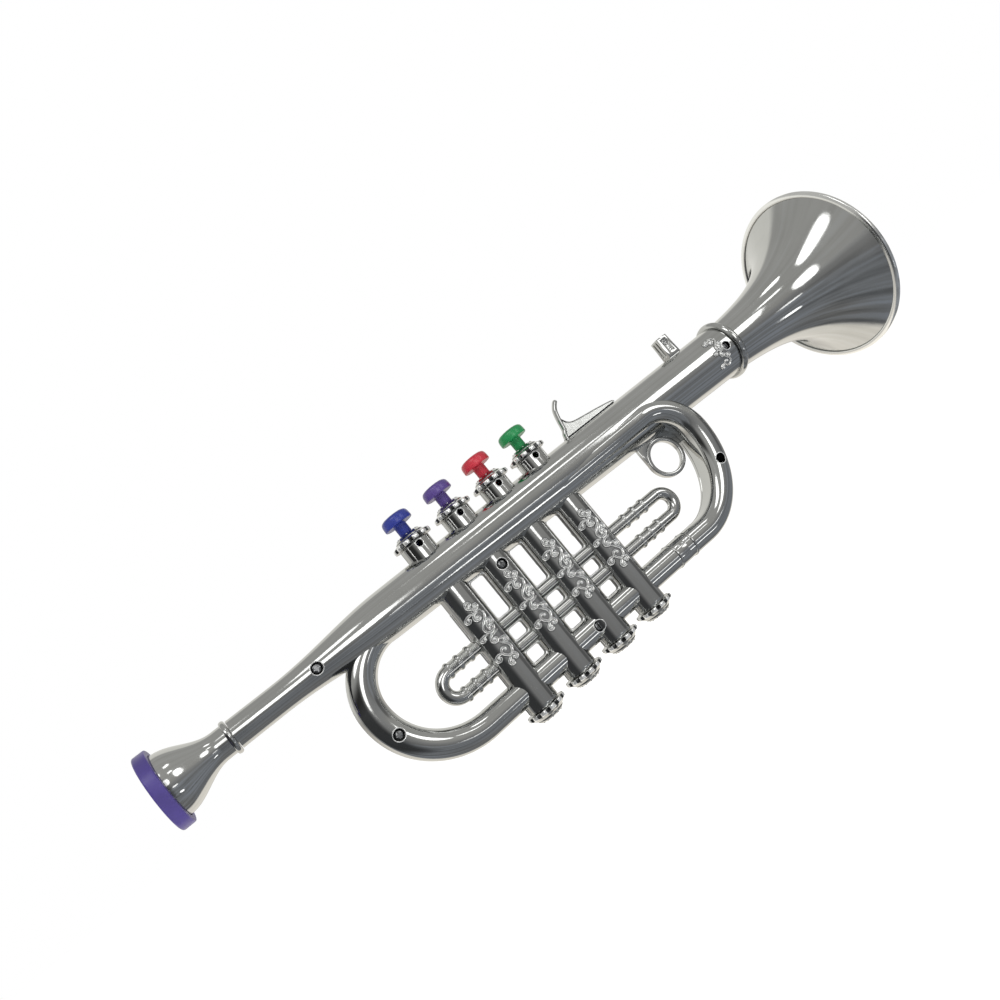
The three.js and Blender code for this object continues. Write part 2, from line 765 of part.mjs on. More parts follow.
// Ring for the little finger, with the web that holds it in the corner of tube and bend
function fingerRing() {
  const corner = ringBand * ringCornerShare
  const half = ringHalfThickness
  const ring = crosswise(ringCentreX, -ringDrop, closed([
    [-half, ringHoleRadius + corner],
    [-half, ringRadius - corner],
    [corner - half, ringRadius],
    [half - corner, ringRadius],
    [half, ringRadius - corner],
    [half, ringHoleRadius + corner],
    [half - corner, ringHoleRadius],
    [corner - half, ringHoleRadius],
  ]), tubeSides)
  const opening = rod(-overrun, overrun, ringHoleRadius + ringBand / 2)
  return ring.add(ringWeb(0).subtract(crosswise(ringCentreX, -ringDrop, opening, tubeSides)))
}

// Side view of the hook, as shares of its foot length and its height: up the horn, back down its
// inner edge and along the gusset
const hookOutlineShares = [
  [0, 0], [0, 0.05], [0.07, 0.25], [0.102, 0.49], [0.15, 0.74], [0.225, 0.9], [0.295, 1],
  [0.31, 0.9], [0.215, 0.76], [0.16, 0.57], [0.167, 0.43], [0.2, 0.32], [0.28, 0.24],
  [0.455, 0.2], [0.68, 0.156], [0.94, 0.09], [1, 0.046], [1, 0],
]

function fingerHook() {
  const foot = tubeRadiusAt(hookStart)
  const outline = hookOutlineShares.map(([along, up]) =>
    [hookStart + hookFootLength * along, foot + hookHeight * up])
  return plate(outline, hookHalfWidth)
    .subtract(mainTube(-seatGap, 0, tubeSides))
    .add(topTongue(hookTongueFrom, hookTongueTo, 0))
}

// Square socket for a music holder: open at the top, with its foot shaped to the tube
function lyreSocket() {
  const half = socketWidth / 2
  const pocket = socketPocket / 2
  const foot = tubeRadiusAt(socketCentre + half) + seatGap
  const top = foot + socketHeight
  const body = block([socketCentre - half, -half, foot - wall], [socketCentre + half, half, top])
  const room = block([socketCentre - pocket, -pocket, foot + socketFloor],
    [socketCentre + pocket, pocket, top + overrun])
  return body
    .subtract(room.add(mainTube(-seatGap, 0, tubeSides)))
    .add(topTongue(socketTongueFrom, socketTongueTo, 0))
}

function material(color, roughness, metalness) {
  return new THREE.MeshStandardMaterial({ color, roughness, metalness })
}

const plating = material(0xd6d9dc, 0.08, 1)
const rimPurple = material(0x5a4b96, 0.35, 0)
const screwSteel = material(0x8f9296, 0.3, 1)
const springSteel = material(0xa9adb2, 0.35, 1)
const brass = material(0xc9a24a, 0.3, 1)
const rubber = material(0x26272b, 0.8, 0)
const plainPlastic = material(0xe8e6df, 0.45, 0)
const keyPlastics = {
  blue: material(0x34399a, 0.3, 0),
  purple: material(0x6a4fa0, 0.3, 0),
  red: material(0xd0304a, 0.3, 0),
  green: material(0x1f8f55, 0.3, 0),
}

// The origin of the finished group: the hand grip in the middle of the casings
const gripX = firstValve + valvePitch * (valveCount - 1) / 2
const gripZ = -(slideUpper + slideLower) / 2

const trumpet = new THREE.Group()
trumpet.name = 'toy_trumpet'

function addPiece(name, shape, surface) {
  const { vertProperties, triVerts } = shape.getMesh()
  const geometry = new THREE.BufferGeometry()
  geometry.setAttribute('position', new THREE.Float32BufferAttribute(vertProperties, 3))
  geometry.setIndex(Array.from(triVerts))
  geometry.translate(-gripX, 0, -gripZ)
  geometry.computeVertexNormals()
  const mesh = new THREE.Mesh(geometry, surface)
  mesh.name = name
  trumpet.add(mesh)
}

const shells = wholeShell()
addPiece('front_shell', halfShell(shells, true), plating)
addPiece('rear_shell', halfShell(shells, false), plating)
addPiece('bell', bell(), plating)
addPiece('mouthpiece_cup', mouthpieceCup(), plating)
addPiece('mouthpiece_rim', mouthpieceRim(), rimPurple)
addPiece('finger_ring', fingerRing(), plating)
addPiece('finger_hook', fingerHook(), plating)
addPiece('lyre_socket', lyreSocket(), plating)
shellScrews.forEach((screw) => addPiece(`screw_${screw.name}`, shellScrew(screw), screwSteel))
addPiece('screw_bell', bellScrew(), screwSteel)
addPiece('reed_block', reedBlock(), plainPlastic)
addPiece('reed_plate', reedPlate(), plainPlastic)
keyNames.forEach((name, i) => {
  const x = valveCentres[i]
  addPiece(`key_${name}`, key(x), keyPlastics[name])
  addPiece(`pad_${name}`, pad(x), rubber)
  addPiece(`key_spring_${name}`, keySpring(x), springSteel)
  addPiece(`reed_${name}`, reed(x), brass)
  addPiece(`tower_cap_${name}`, towerCap(x), plating)
  addPiece(`bottom_cap_${name}`, bottomCap(x), plating)
})

export default trumpet
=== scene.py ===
from math import asin, copysign, cos, hypot, pi, radians, sin, sqrt

import bmesh
import bpy
from mathutils import Matrix, Vector


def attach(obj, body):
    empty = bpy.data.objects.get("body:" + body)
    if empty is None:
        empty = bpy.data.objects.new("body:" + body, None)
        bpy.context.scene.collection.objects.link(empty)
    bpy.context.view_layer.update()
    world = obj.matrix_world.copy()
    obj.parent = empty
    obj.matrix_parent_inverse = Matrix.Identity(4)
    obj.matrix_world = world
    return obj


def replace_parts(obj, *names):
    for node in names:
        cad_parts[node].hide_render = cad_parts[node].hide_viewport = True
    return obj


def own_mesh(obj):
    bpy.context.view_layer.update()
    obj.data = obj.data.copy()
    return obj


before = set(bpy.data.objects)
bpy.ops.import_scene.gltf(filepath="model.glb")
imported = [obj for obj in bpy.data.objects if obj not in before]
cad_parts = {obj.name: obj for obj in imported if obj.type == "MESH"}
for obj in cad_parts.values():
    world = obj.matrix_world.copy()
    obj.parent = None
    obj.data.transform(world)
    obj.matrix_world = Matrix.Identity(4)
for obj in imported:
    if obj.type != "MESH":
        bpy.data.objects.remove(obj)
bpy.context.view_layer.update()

# Sizes are in millimetres from the mouthpiece face on the tube's axis, as the solids are laid out.
# GRIP is the place of the part's origin in that layout. Y points to the rear.
MM = 0.001
GRIP = Vector((152.253, 0, -36.4))
FRONT, REAR = -1, 1

LEADPIPE_R = 5.6
CONE_R = (9.55, 12.6)
WIDENING = (47, 50)
TUBE = (29.5, 292.5)
WALL = 1.6
SEAM = 0.05
SEAM_BEVEL = 0.16
LEAST_RISE = SEAM + SEAM_BEVEL + 0.01
BELL_SCREW_X = 288.4

VALVE_PITCH = 20.5
VALVES = [121.5 + VALVE_PITCH * i for i in range(4)]
NAMES = ["blue", "purple", "red", "green"]
CASING_R = 6.7
TOWER_WALL = 1.4
TOWER_HOLE_Z = 13.4

# A bend is the x and z of its centre and its reach along x and z
PIPE_R = 5.4
LEFT_PIPE_R = 5.9
LEFT_TOP, LEFT_LOW = (92, -26, 22, 22.1), (101, -26, 31, 29.5)
RIGHT_LOW, RIGHT_TOP = (222, -20, 28, 35.5), (231.7, -20, 18.3, 18.3)
RIGHT_REACH = RIGHT_LOW[0] + RIGHT_LOW[2]
TOP_RUN_DEPTH = (1.7, 3.9)
LOW_RUN_Z = -55.5
LOOP_RISE, RISE_POWER = 7.6, 1.2
LOOP_SCREW_Z = -36.6
SLIDE_LEFT, SLIDE_RIGHT = (100.4, -36.4, 5.4, 5.4), (216.9, -36.4, 5.4, 5.4)
SLIDE_Z = (-31, -41.8)
SLIDE_R, LEG_R, LEG_ENDS = 2.7, 2.2, (101, 216.3)
BAND_X = (101, 106, 111, 198, 203.6, 209)


def tube_radius(x):
    share = (x - WIDENING[0] - WIDENING[1]) / (TUBE[1] - WIDENING[0] - WIDENING[1])
    cone = CONE_R[0] + (CONE_R[1] - CONE_R[0]) * share
    w = min(1, max(0, (x - WIDENING[0]) / WIDENING[1]))
    return LEADPIPE_R + (cone - LEADPIPE_R) * (1 - cos(pi * w)) / 2


def lerp(a, b, t):
    return a + (b - a) * t


def steps(low, high, count):
    return [lerp(low, high, i / count) for i in range(count + 1)]


def turn(count, offset=0):
    return [2 * pi * (k + offset) / count for k in range(count)]


def circle(centre, across, up, radius, count):
    return [tuple(centre + across * (radius * cos(b)) + up * (radius * sin(b))) for b in turn(count)]


# Meshes
# A form is (points, faces) in layout millimetres


def merge(*forms):
    points, faces = [], []
    for p, f in forms:
        base = len(points)
        points += p
        faces += [[i + base for i in face] for face in f]
    return points, faces


def loft(rings, loop=False, caps=True):
    n = len(rings[0])
    points = [p for ring in rings for p in ring]
    faces = []
    count = len(rings)
    for i in range(count if loop else count - 1):
        a, b = i * n, ((i + 1) % count) * n
        for j in range(n):
            k = (j + 1) % n
            faces.append([a + j, b + j, b + k, a + k])
    if caps and not loop:
        faces.append(list(range(n)))
        faces.append([(count - 1) * n + j for j in reversed(range(n))])
    return points, faces


def lathe(profile, axis, sides, centre=(0, 0, 0), loop=False):
    """Turns (along, radius) pairs about an axis through centre; a radius of 0 gives a single point."""
    points, faces, rows = [], [], []
    for along, radius in profile:
        row = []
        for a in turn(1 if radius < 1e-6 else sides):
            c, s = radius * cos(a), radius * sin(a)
            p = {"x": (along, s, c), "y": (c, along, s), "z": (c, s, along)}[axis]
            row.append(len(points))
            points.append(tuple(p[i] + centre[i] for i in range(3)))
        rows.append(row)
    for a, b in zip(rows, rows[1:] + (rows[:1] if loop else [])):
        for j in range(sides if len(a) + len(b) > 2 else 0):
            k = (j + 1) % sides
            corners = [a[j % len(a)], b[j % len(b)], b[k % len(b)], a[k % len(a)]]
            faces.append(list(dict.fromkeys(corners)))
    return points, faces


def rounded(profile, radius, count=3, loop=False):
    """Rounds the corners of an (along, radius) outline with short arcs, except the ends of an open one."""
    pts = [Vector((p[0], p[1])) for p in profile]
    out = []
    n = len(pts)
    for i, p in enumerate(pts):
        if not loop and i in (0, n - 1):
            out.append(tuple(p))
            continue
        a, b = pts[i - 1], pts[(i + 1) % n]
        r = radius[i] if isinstance(radius, (list, tuple)) else radius
        reach = min(r, (a - p).length * 0.45, (b - p).length * 0.45)
        start, end = p + (a - p).normalized() * reach, p + (b - p).normalized() * reach
        for t in steps(0, 1, count):
            q = start.lerp(p, t).lerp(p.lerp(end, t), t)
            out.append((q.x, q.y))
    return out


def add_object(name, data):
    obj = bpy.data.objects.new(name, data)
    bpy.context.scene.collection.objects.link(obj)
    return obj


def make(name, form, material, body="instrument", angle=32, bevel=None):
    points, faces = form
    mesh = bpy.data.meshes.new(name)
    mesh.from_pydata([(Vector(p) - GRIP) * MM for p in points], [], faces)
    bm = bmesh.new()
    bm.from_mesh(mesh)
    bmesh.ops.recalc_face_normals(bm, faces=bm.faces)
    bm.to_mesh(mesh)
    bm.free()
    obj = add_object(name, mesh)
    mesh.materials.append(material)
    if bevel:
        bevel_edges(obj, bevel, 40)
    smooth(obj.data, angle)
    if body:
        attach(obj, body)
    return obj


def bevel_edges(obj, width, angle):
    mod = obj.modifiers.new("edges", "BEVEL")
    mod.width = width * MM
    mod.segments = 2
    mod.limit_method = "ANGLE"
    mod.angle_limit = radians(angle)
    apply_modifiers(obj)


def paint(obj, material, chosen):
    """Gives another material to the faces that chosen picks by their index."""
    obj.data.materials.append(material)
    for face in obj.data.polygons:
        if chosen(face.index):
            face.material_index = len(obj.data.materials) - 1


def smooth(mesh, angle):
    mesh.shade_smooth()
    mesh.set_sharp_from_angle(angle=radians(angle))


def apply_modifiers(obj):
    graph = bpy.context.evaluated_depsgraph_get()
    mesh = bpy.data.meshes.new_from_object(obj.evaluated_get(graph))
    old = obj.data
    obj.modifiers.clear()
    obj.data = mesh
    bpy.data.meshes.remove(old)


def drill(obj, cutters, material, angle=32):
    """Cuts closed forms out of a piece; the new walls take the given material."""
    for form in cutters:
        cutter = make("cutter", form, material, body=None)
        mod = obj.modifiers.new("hole", "BOOLEAN")
        mod.operation = "DIFFERENCE"
        mod.solver = "EXACT"
        mod.material_mode = "TRANSFER"
        mod.object = cutter
        apply_modifiers(obj)
        bpy.data.objects.remove(cutter)
    smooth(obj.data, angle)


def join(name, objects):
    """Several plated meshes become one piece on the instrument, with their own materials kept."""
    bm = bmesh.new()
    materials = list(dict.fromkeys(m for o in objects for m in o.data.materials))
    mesh = bpy.data.meshes.new(name)
    for m in materials:
        mesh.materials.append(m)
    for o in objects:
        first = len(bm.faces)
        bm.from_mesh(o.data)
        bm.faces.ensure_lookup_table()
        for f in bm.faces[first:]:
            f.material_index = materials.index(o.data.materials[f.material_index])
    bm.to_mesh(mesh)
    bm.free()
    for o in objects:
        bpy.data.objects.remove(o)
    whole = add_object(name, mesh)
    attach(whole, "instrument")
    return whole


# Materials


def nodes_of(name):
    material = bpy.data.materials.new(name)
    material.use_nodes = True
    return material, material.node_tree.nodes["Principled BSDF"]


def feed(node, inputs):
    """Gives each named socket of a node its value, or a link from the socket that feeds it."""
    for key, value in dict(inputs).items():
        if isinstance(value, bpy.types.NodeSocket):
            node.id_data.links.new(value, node.inputs[key])
        else:
            node.inputs[key].default_value = value


def add_node(near, kind, inputs=(), **settings):
    """A new node in the tree that holds near, a node or a socket."""
    node = near.id_data.nodes.new("ShaderNode" + kind)
    for name, value in settings.items():
        setattr(node, name, value)
    feed(node, inputs)
    return node


def noise(near, scale, detail=3, rough=0.5, place=None):
    place = place or add_node(near, "TexCoord").outputs["Object"]
    inputs = {"Scale": scale, "Detail": detail, "Roughness": rough, "Vector": place}
    return add_node(near, "TexNoise", inputs).outputs["Fac"]


def ramp(source, stops):
    node = add_node(source, "ValToRGB", {"Fac": source})
    elements = node.color_ramp.elements
    while len(elements) < len(stops):
        elements.new(0.5)
    for element, (place, colour) in zip(elements, stops):
        element.position = place
        element.color = (*colour, 1)
    return node.outputs["Color"]


def grey(value):
    return (value, value, value)


def bump(source, strength, distance, under=None):
    inputs = {"Strength": strength, "Distance": distance, "Height": source}
    if under:
        inputs["Normal"] = under
    return add_node(source, "Bump", inputs).outputs["Normal"]


def metal(name, dark, light, clean_rough, dull_rough, wave, grain, metallic=1):
    """Polished or plated metal: faint tarnish, smudges that dull it, and a slightly wavy skin."""
    material, shader = nodes_of(name)
    waves = bump(noise(shader, 55, 1), wave, 0.0004)
    ripple = bump(noise(shader, 240, 2), wave, 0.00016, waves)
    smudges = [(0.42, grey(clean_rough)), (0.75, grey(dull_rough))]
    feed(shader, {
        "Metallic": metallic,
        "Base Color": ramp(noise(shader, 38, 4), [(0.3, dark), (0.7, light)]),
        "Roughness": ramp(noise(shader, 90, 5, 0.6), smudges),
        "Normal": bump(noise(shader, 2600, 2), grain, 0.00002, ripple),
    })
    return material


def plastic(name, colour, rough=0.2, mottle=0.06, grain=0.015):
    """Moulded plastic: faint flow marks in the colour, scuffed gloss and a fine skin."""
    material, shader = nodes_of(name)
    low = tuple(c * (1 - mottle) for c in colour)
    high = tuple(min(1, c * (1 + mottle)) for c in colour)
    scuffs = [(0.4, grey(rough)), (0.8, grey(rough + 0.16))]
    feed(shader, {
        "Base Color": ramp(noise(shader, 160, 4), [(0.3, low), (0.7, high)]),
        "Roughness": ramp(noise(shader, 420, 5, 0.65), scuffs),
        "Normal": bump(noise(shader, 1500, 3), grain, 0.00008),
    })
    return material


# A metal's dark and light colour, roughness where clean and where dull, wave, grain and metallic share
# Two pale plating colours, used only as a painted highlight
PAINTED_HIGHLIGHT_PALE = (0.86, 0.865, 0.85), (0.94, 0.945, 0.93)
PLATING = metal("plating", (0.52, 0.525, 0.515), (0.58, 0.585, 0.575), 0.045, 0.13, 0.10, 0.25)
# A paler, partly non-metallic copy of the plating: a painted highlight on the relief, studs, hole lips and
# cap lobes
PAINTED_HIGHLIGHT = metal("plating_painted_highlight", (0.9, 0.905, 0.89), (0.98, 0.985, 0.97), 0.12, 0.24, 0.1, 0.25, 0.76)
# A pale copy of the plating: a painted highlight on the bell's rolled lip
LIP_PAINTED_HIGHLIGHT = metal("plating_lip_painted_highlight", *PAINTED_HIGHLIGHT_PALE, 0.12, 0.24, 0.1, 0.25)
# A pale, rougher copy of the plating: satin gloss with a painted highlight, on frames, fine beads and rod
# ridges
SATIN_PAINTED_HIGHLIGHT = metal("plating_satin_painted_highlight", *PAINTED_HIGHLIGHT_PALE, 0.3, 0.42, 0.1, 0.3)
# A rougher, grainier copy of the plating, its paler tone painted light, on the hook's web and the knurled
# lanes
WEB_SKIN_PAINTED_LIGHT = metal("plating_web_painted_light", (0.70, 0.71, 0.69), (0.80, 0.81, 0.79), 0.32, 0.46, 0.3, 0.4)
# A near-black copy of the plating: painted shade in grooves, hollows, counterbores and beside bright beads
PAINTED_SHADE = metal("plating_painted_shade", (0.07, 0.072, 0.072), (0.13, 0.132, 0.132), 0.3, 0.5, 0.2, 0.4)
STEEL = metal("screw_steel", (0.20, 0.205, 0.21), (0.30, 0.305, 0.31), 0.18, 0.32, 0.1, 0.4)
WIRE = metal("spring_steel", (0.55, 0.56, 0.58), (0.66, 0.67, 0.69), 0.2, 0.35, 0.05, 0.2)
BRASS = metal("reed_brass", (0.62, 0.44, 0.15), (0.78, 0.58, 0.24), 0.2, 0.35, 0.05, 0.3)
# Black plastic: painted shade on hole walls and along the hook's foot
HOLE_SHADE = plastic("hole_wall_painted_shade", (0.012, 0.013, 0.015), 0.6, 0.1, 0.1)
RUBBER = plastic("pad_rubber", (0.02, 0.02, 0.023), 0.75, 0.15, 0.5)
BARE = plastic("inner_plastic", (0.80, 0.78, 0.73), 0.45, 0.05, 0.2)
RIM = plastic("rim_purple", (0.066, 0.047, 0.215), 0.3)
KEY_COLOURS = [(0.025, 0.038, 0.235), (0.085, 0.052, 0.215), (0.47, 0.028, 0.046), (0.014, 0.225, 0.068)]
KEYS = {name: plastic("key_" + name, colour) for name, colour in zip(NAMES, KEY_COLOURS)}


def part(form, skin=PLATING, angle=32, bevel=None):
    """A loose mesh, to be joined with others into one piece."""
    return make("part", form, skin, None, angle=angle, bevel=bevel)


# Half shells


def half_section(radius, rise, side, sides=30, wall=0):
    """Half of a round section, drawn out by rise, with a small bevel at the parting plane.
    With a wall it is open inside. Points are (out, y)."""
    edge = SEAM + SEAM_BEVEL
    first = asin(min(1, edge / radius)) if rise < edge else 0
    out = [(radius - SEAM_BEVEL, side * SEAM)]
    if rise >= edge:
        out.append((radius, side * edge))
    out += [
        (radius * cos(a), side * (rise + radius * sin(a)))
        for a in steps(first, pi - first, sides)
    ]
    if rise >= edge:
        out.append((-radius, side * edge))
    out.append((-radius + SEAM_BEVEL, side * SEAM))
    if wall:
        inner = radius - wall
        out += [(-inner * cos(a), side * max(SEAM, inner * sin(a)))
                for a in steps(0, pi, sides // 2)]
    return out


def along_route(route, side):
    """A half pipe along a closed side-view route of (x, z, radius, rise)."""
    rings = []
    n = len(route)
    for i, (x, z, radius, rise) in enumerate(route):
        before, after = route[i - 1], route[(i + 1) % n]
        way = Vector((after[0] - before[0], after[1] - before[1])).normalized()
        lift = rise if side == FRONT else 0
        rings.append([(x - way.y * out, y, z + way.x * out)
                      for out, y in half_section(radius, max(lift, LEAST_RISE), side)])
    return loft(rings, loop=True)


def arc(cx, cz, rx, rz, start, end, count):
    return [(cx + rx * cos(a), cz + rz * sin(a), a)
            for a in steps(start * pi / 2, end * pi / 2, count)]


def low_rise(x, side=FRONT):
    """How far the bottom run stands out to the front, from the last casing to the right bend."""
    share = max(0, (x - VALVES[3]) / (RIGHT_REACH - VALVES[3]))
    return 0 if side == REAR else LOOP_RISE * share ** RISE_POWER


def big_route():
    start, end = LEFT_TOP[0], RIGHT_TOP[0]

    def left_r(a):
        return lerp(PIPE_R, LEFT_PIPE_R, abs(cos(a)))

    def top_rise(x):
        return LOOP_RISE * min(1, max(0, (x - start) / (end - start)))

    route = [(x, z, left_r(a), 0) for x, z, a in arc(*LEFT_TOP, 1, 2, 26)]
    route += [(x, z, left_r(a), 0) for x, z, a in arc(*LEFT_LOW, 2, 3, 40)[1:]]
    route += [(x, LOW_RUN_Z, PIPE_R, low_rise(x)) for x in steps(LEFT_LOW[0], RIGHT_LOW[0], 120)[1:-1]]
    route += [(x, z, PIPE_R, low_rise(x)) for x, z, a in arc(*RIGHT_LOW, 3, 4, 44)]
    route += [(x, z, PIPE_R, top_rise(x)) for x, z, a in arc(*RIGHT_TOP, 0, 1, 28)[1:]]
    route += [(x, -lerp(*TOP_RUN_DEPTH, (end - x) / (end - start)), PIPE_R, top_rise(x))
              for x in steps(end, start, 130)[1:-1]]
    return route


def slide_route():
    left, right = ([(x, z, SLIDE_R, 0) for x, z, a in arc(*bend, first, first + 2, 24)]
                   for bend, first in ((SLIDE_LEFT, 1), (SLIDE_RIGHT, 3)))
    upper, lower = ([(x, z, LEG_R, 0) for x in LEG_ENDS] for z in SLIDE_Z)
    return left + lower + right + upper[::-1]


def ring_band(x, z, radius, rise, width, side, height, even=0):
    """A narrow rounded band on a pipe that runs along X: a pair of nubs, or all round when even."""
    rings = []
    for a in steps(0, pi, 8):
        grow = height * sin(a)
        along = -width / 2 * cos(a)
        ring = []
        for out, y in half_section(radius - 0.05, max(rise, LEAST_RISE), side):
            nub = copysign(grow, out) * (out / radius) ** 2
            ring.append((x + along, y + side * grow * even, z + out + nub))
        rings.append(ring)
    return loft(rings)


def upright_half(x, places, side, wall):
    return loft([[(x + out, y, z) for out, y in half_section(CASING_R - inset, 0, side, 40, wall - inset)]
                 for z, inset in places])


SLEEVE_BANDS = ((203.9, 1.1, 0.45), (208.2, 8.4, 0.16), (212.6, 1.1, 0.45))


def shell_bands(side):
    """Nubs along the slide rods, and the sleeve with its two rings on the bottom run."""
    bands = [ring_band(x, z, SLIDE_R, 0, 1.9, side, 0.7) for z in SLIDE_Z for x in BAND_X]
    for x, width, height in SLEEVE_BANDS:
        bands.append(ring_band(x, LOW_RUN_Z, PIPE_R, low_rise(x, side), width, side, height, 1))
    return bands


def half_tube(side):
    return loft([[(x, y, out) for out, y in half_section(tube_radius(x), 0, side, 44, WALL)]
                 for x in steps(*TUBE, 240)])


def tube_skin(gap, low, high, count=60, sides=96):
    """A closed form along the main tube, at a gap outside its skin."""
    profile = [(x, tube_radius(x) + gap) for x in steps(low, high, count)]
    return lathe([(low, 0)] + profile + [(high, 0)], "x", sides)


def rod(x, low, high, radius):
    return lathe([(low, 0), (low, radius), (high, radius), (high, 0)], "z", 48, (x, 0, 0))


# Inset, corner radius and height of each ring of a frame, and the foot and top of each opening
FRAME_ROWS = [(-1.3, 0.1, SEAM), (-1.3, 0.1, 0.8), (-0.55, 0.6, 0.8), (-0.5, 0.65, 1.15), (-0.36, 0.8, 1.42),
              (-0.16, 0.95, 1.52), (0.04, 1.1, 1.42), (0.16, 1.2, 1.15), (0.2, 1.25, 0.8), (0.2, 1.25, SEAM)]
# Rows of each frame that take painted shade
FRAME_SHADES = (1, 2, 7, 8)
CORNER_STEPS = 6
OPENINGS = ((-28.3, -10.4), (-39.1, -33.7), (-50.1, -44.5))


def frame_ring(x0, x1, z0, z1, side):
    """A thin rounded frame round an opening between two casings, with a raised lip."""
    rings = []
    for inset, radius, y in FRAME_ROWS:
        left, right = x0 + inset + radius, x1 - inset - radius
        foot, top = z0 + inset + radius, z1 - inset - radius
        ring = []
        for i, (cx, cz) in enumerate([(right, top), (left, top), (left, foot), (right, foot)]):
            ring += [(x, side * y, z) for x, z, a in arc(cx, cz, radius, radius, i, i + 1, CORNER_STEPS)]
        rings.append(ring)
    return loft(rings, loop=True)


# Degrees from the top and radius round the straight part of a slide rod, and its lanes that take painted
# shade (grooves) and a painted highlight (ridge)
LEG_TURNS = [(0, 2.78), (26, 2.8), (45, 2.82), (62, 2.82), (78, 2.84), (92, 2.86), (97, 2.84), (100, 2.3),
             (104, 2.3), (106, 2.98), (111, 3.08), (116, 2.98), (118, 2.3), (122, 2.3), (126, 2.84),
             (131, 2.84), (158, 2.78), (180, 2.74)]
GROOVES, RIDGE = (6, 7, 8, 11, 12, 13), (9, 10)
KNURL = 0.2


def leg_sleeve(z, side):
    """The straight part of a slide rod: a fine ridge between two grooves, low on its face. Its knurled lanes
    take the paler web plating, its grooves painted shade and its ridge a painted highlight.
    """
    rings = []
    knurl = [(x, 0, KNURL * (i % 2)) for i, x in enumerate(steps(100.2, 114.4, 40))]
    for x, shrink, dip in [(99.4, 0.25, 0), (99.9, 0, 0)] + knurl + [(217.4, 0, 0), (217.9, 0.25, 0)]:
        turns = [(radians(a), r - shrink - (dip if 20 < a < 100 else 0)) for a, r in LEG_TURNS]
        rings.append([(x, side * max(SEAM, r * sin(a)), z + r * cos(a)) for a, r in turns])
    leg = part(loft(rings), angle=24)
    lanes = len(LEG_TURNS)
    sides = lanes * (len(rings) - 1)
    # Knurled lanes: paler plating, its tone partly painted light; grooves: painted shade; ridge: painted
    # highlight
    paint(leg, WEB_SKIN_PAINTED_LIGHT, lambda i: lanes < i < lanes * (len(knurl) + 1) and 1 <= i % lanes <= 5)
    paint(leg, PAINTED_SHADE, lambda i: i < sides and i % lanes in GROOVES)
    paint(leg, SATIN_PAINTED_HIGHLIGHT, lambda i: i < sides and i % lanes in RIDGE)
    return leg


def upright_line(x, azimuth, low, high, side, size, sink):
    """A fine bead up a casing or tower, its middle sunk under the surface."""
    a = radians(azimuth)
    reach = CASING_R - sink
    profile = [(low, 0.03), (low + 0.3, size), (high - 0.3, size), (high, 0.03)]
    return lathe(profile, "z", 12, (x + reach * sin(a), side * reach * cos(a), 0))


def face_stud(x, z, low, radius, side, size):
    """A small dome on the face of a pipe that runs along X."""
    y = side * sqrt(radius ** 2 - low ** 2)
    dome = [(side * (size * sin(a)), size * cos(a)) for a in steps(-0.5, pi / 2 - 0.05, 5)]
    return lathe(dome + [(side * size, 0)], "y", 10, (x, y, z + low))


def hole_lip(pieces, x, z, radius, thick):
    """A fine raised edge round a hole, laid on the surfaces that the hole goes through."""
    path = []
    for a in steps(0, 2 * pi, 40)[:-1]:
        px, pz = x + radius * cos(a), z + radius * sin(a)
        start = (Vector((px, -40, pz)) - GRIP) * MM
        hits = [o.ray_cast(start, Vector((0, 1, 0)))[:2] for o in pieces]
        depths = [place.y for found, place in hits if found]
        if depths:
            path.append(Vector((px, min(depths) / MM + GRIP.y, pz)))
    rings = []
    for i, p in enumerate(path):
        way = (path[(i + 1) % len(path)] - path[i - 1]).normalized()
        out = way.cross(Vector((0, 1, 0))).normalized()
        up = out.cross(way)
        rings.append(circle(p, out, up, thick, 8))
    return loft(rings, loop=True)


def hole(x, z, radius, near, far):
    return lathe([(near, 0), (near, radius), (far, radius), (far, 0)], "y", 32, (x, 0, z))


def bend_x(bend, z, sign):
    cx, cz, rx, rz = bend
    return cx + sign * rx * sqrt(1 - ((z - cz) / rz) ** 2)


# Each shell screw's x and z, how far the face round it stands out, and how deep its head sinks
SCREWS = {
    "screw_leadpipe": (63.9, 0, tube_radius(63.9), 0.5),
    "screw_left_bend": (bend_x(LEFT_LOW, LOOP_SCREW_Z, -1), LOOP_SCREW_Z, LEFT_PIPE_R, 0.5),
    "screw_valve": (VALVES[1], -12.6, CASING_R, 0.5),
    "screw_bottom_run": (VALVES[2] - 5.2, LOW_RUN_Z, PIPE_R, 0.5),
    "screw_right_bend": (bend_x(RIGHT_LOW, LOOP_SCREW_Z, 1), LOOP_SCREW_Z, LOOP_RISE + PIPE_R, 8),
}
LOOP_SCREWS = ("screw_left_bend", "screw_bottom_run", "screw_right_bend")
BOSS_SCREWS = ("screw_leadpipe", "screw_valve")
HEAD = 1.3


def counterbore(name):
    x, z, face, sink = SCREWS[name]
    return hole(x, z, 2.25, -face - 4, -face + sink + HEAD + 0.25)


def boss(name, side):
    x, z, face = SCREWS[name][:3]
    if side == FRONT:
        return hole(x, z, 2.9, -face + 1, -SEAM)
    return hole(x, z, 2.9, SEAM, 5.2)


CASING_ENDS = [(z, 0) for z in steps(-4, -63.9, 60)] + [(-64.1, 0.1), (-64.2, 0.3)]
TOWER_ENDS = [(z, 0) for z in steps(5, 14.9, 20)] + [(15.1, 0.1), (15.2, 0.3)]
# Azimuth from straight ahead, foot and top of the fine lines up each tower and casing
LINES = [(-43, 5.4, 15), (40, 5.4, 15), (-80, -63.8, -15), (84, -63.8, -15), (37, -46, -10)]


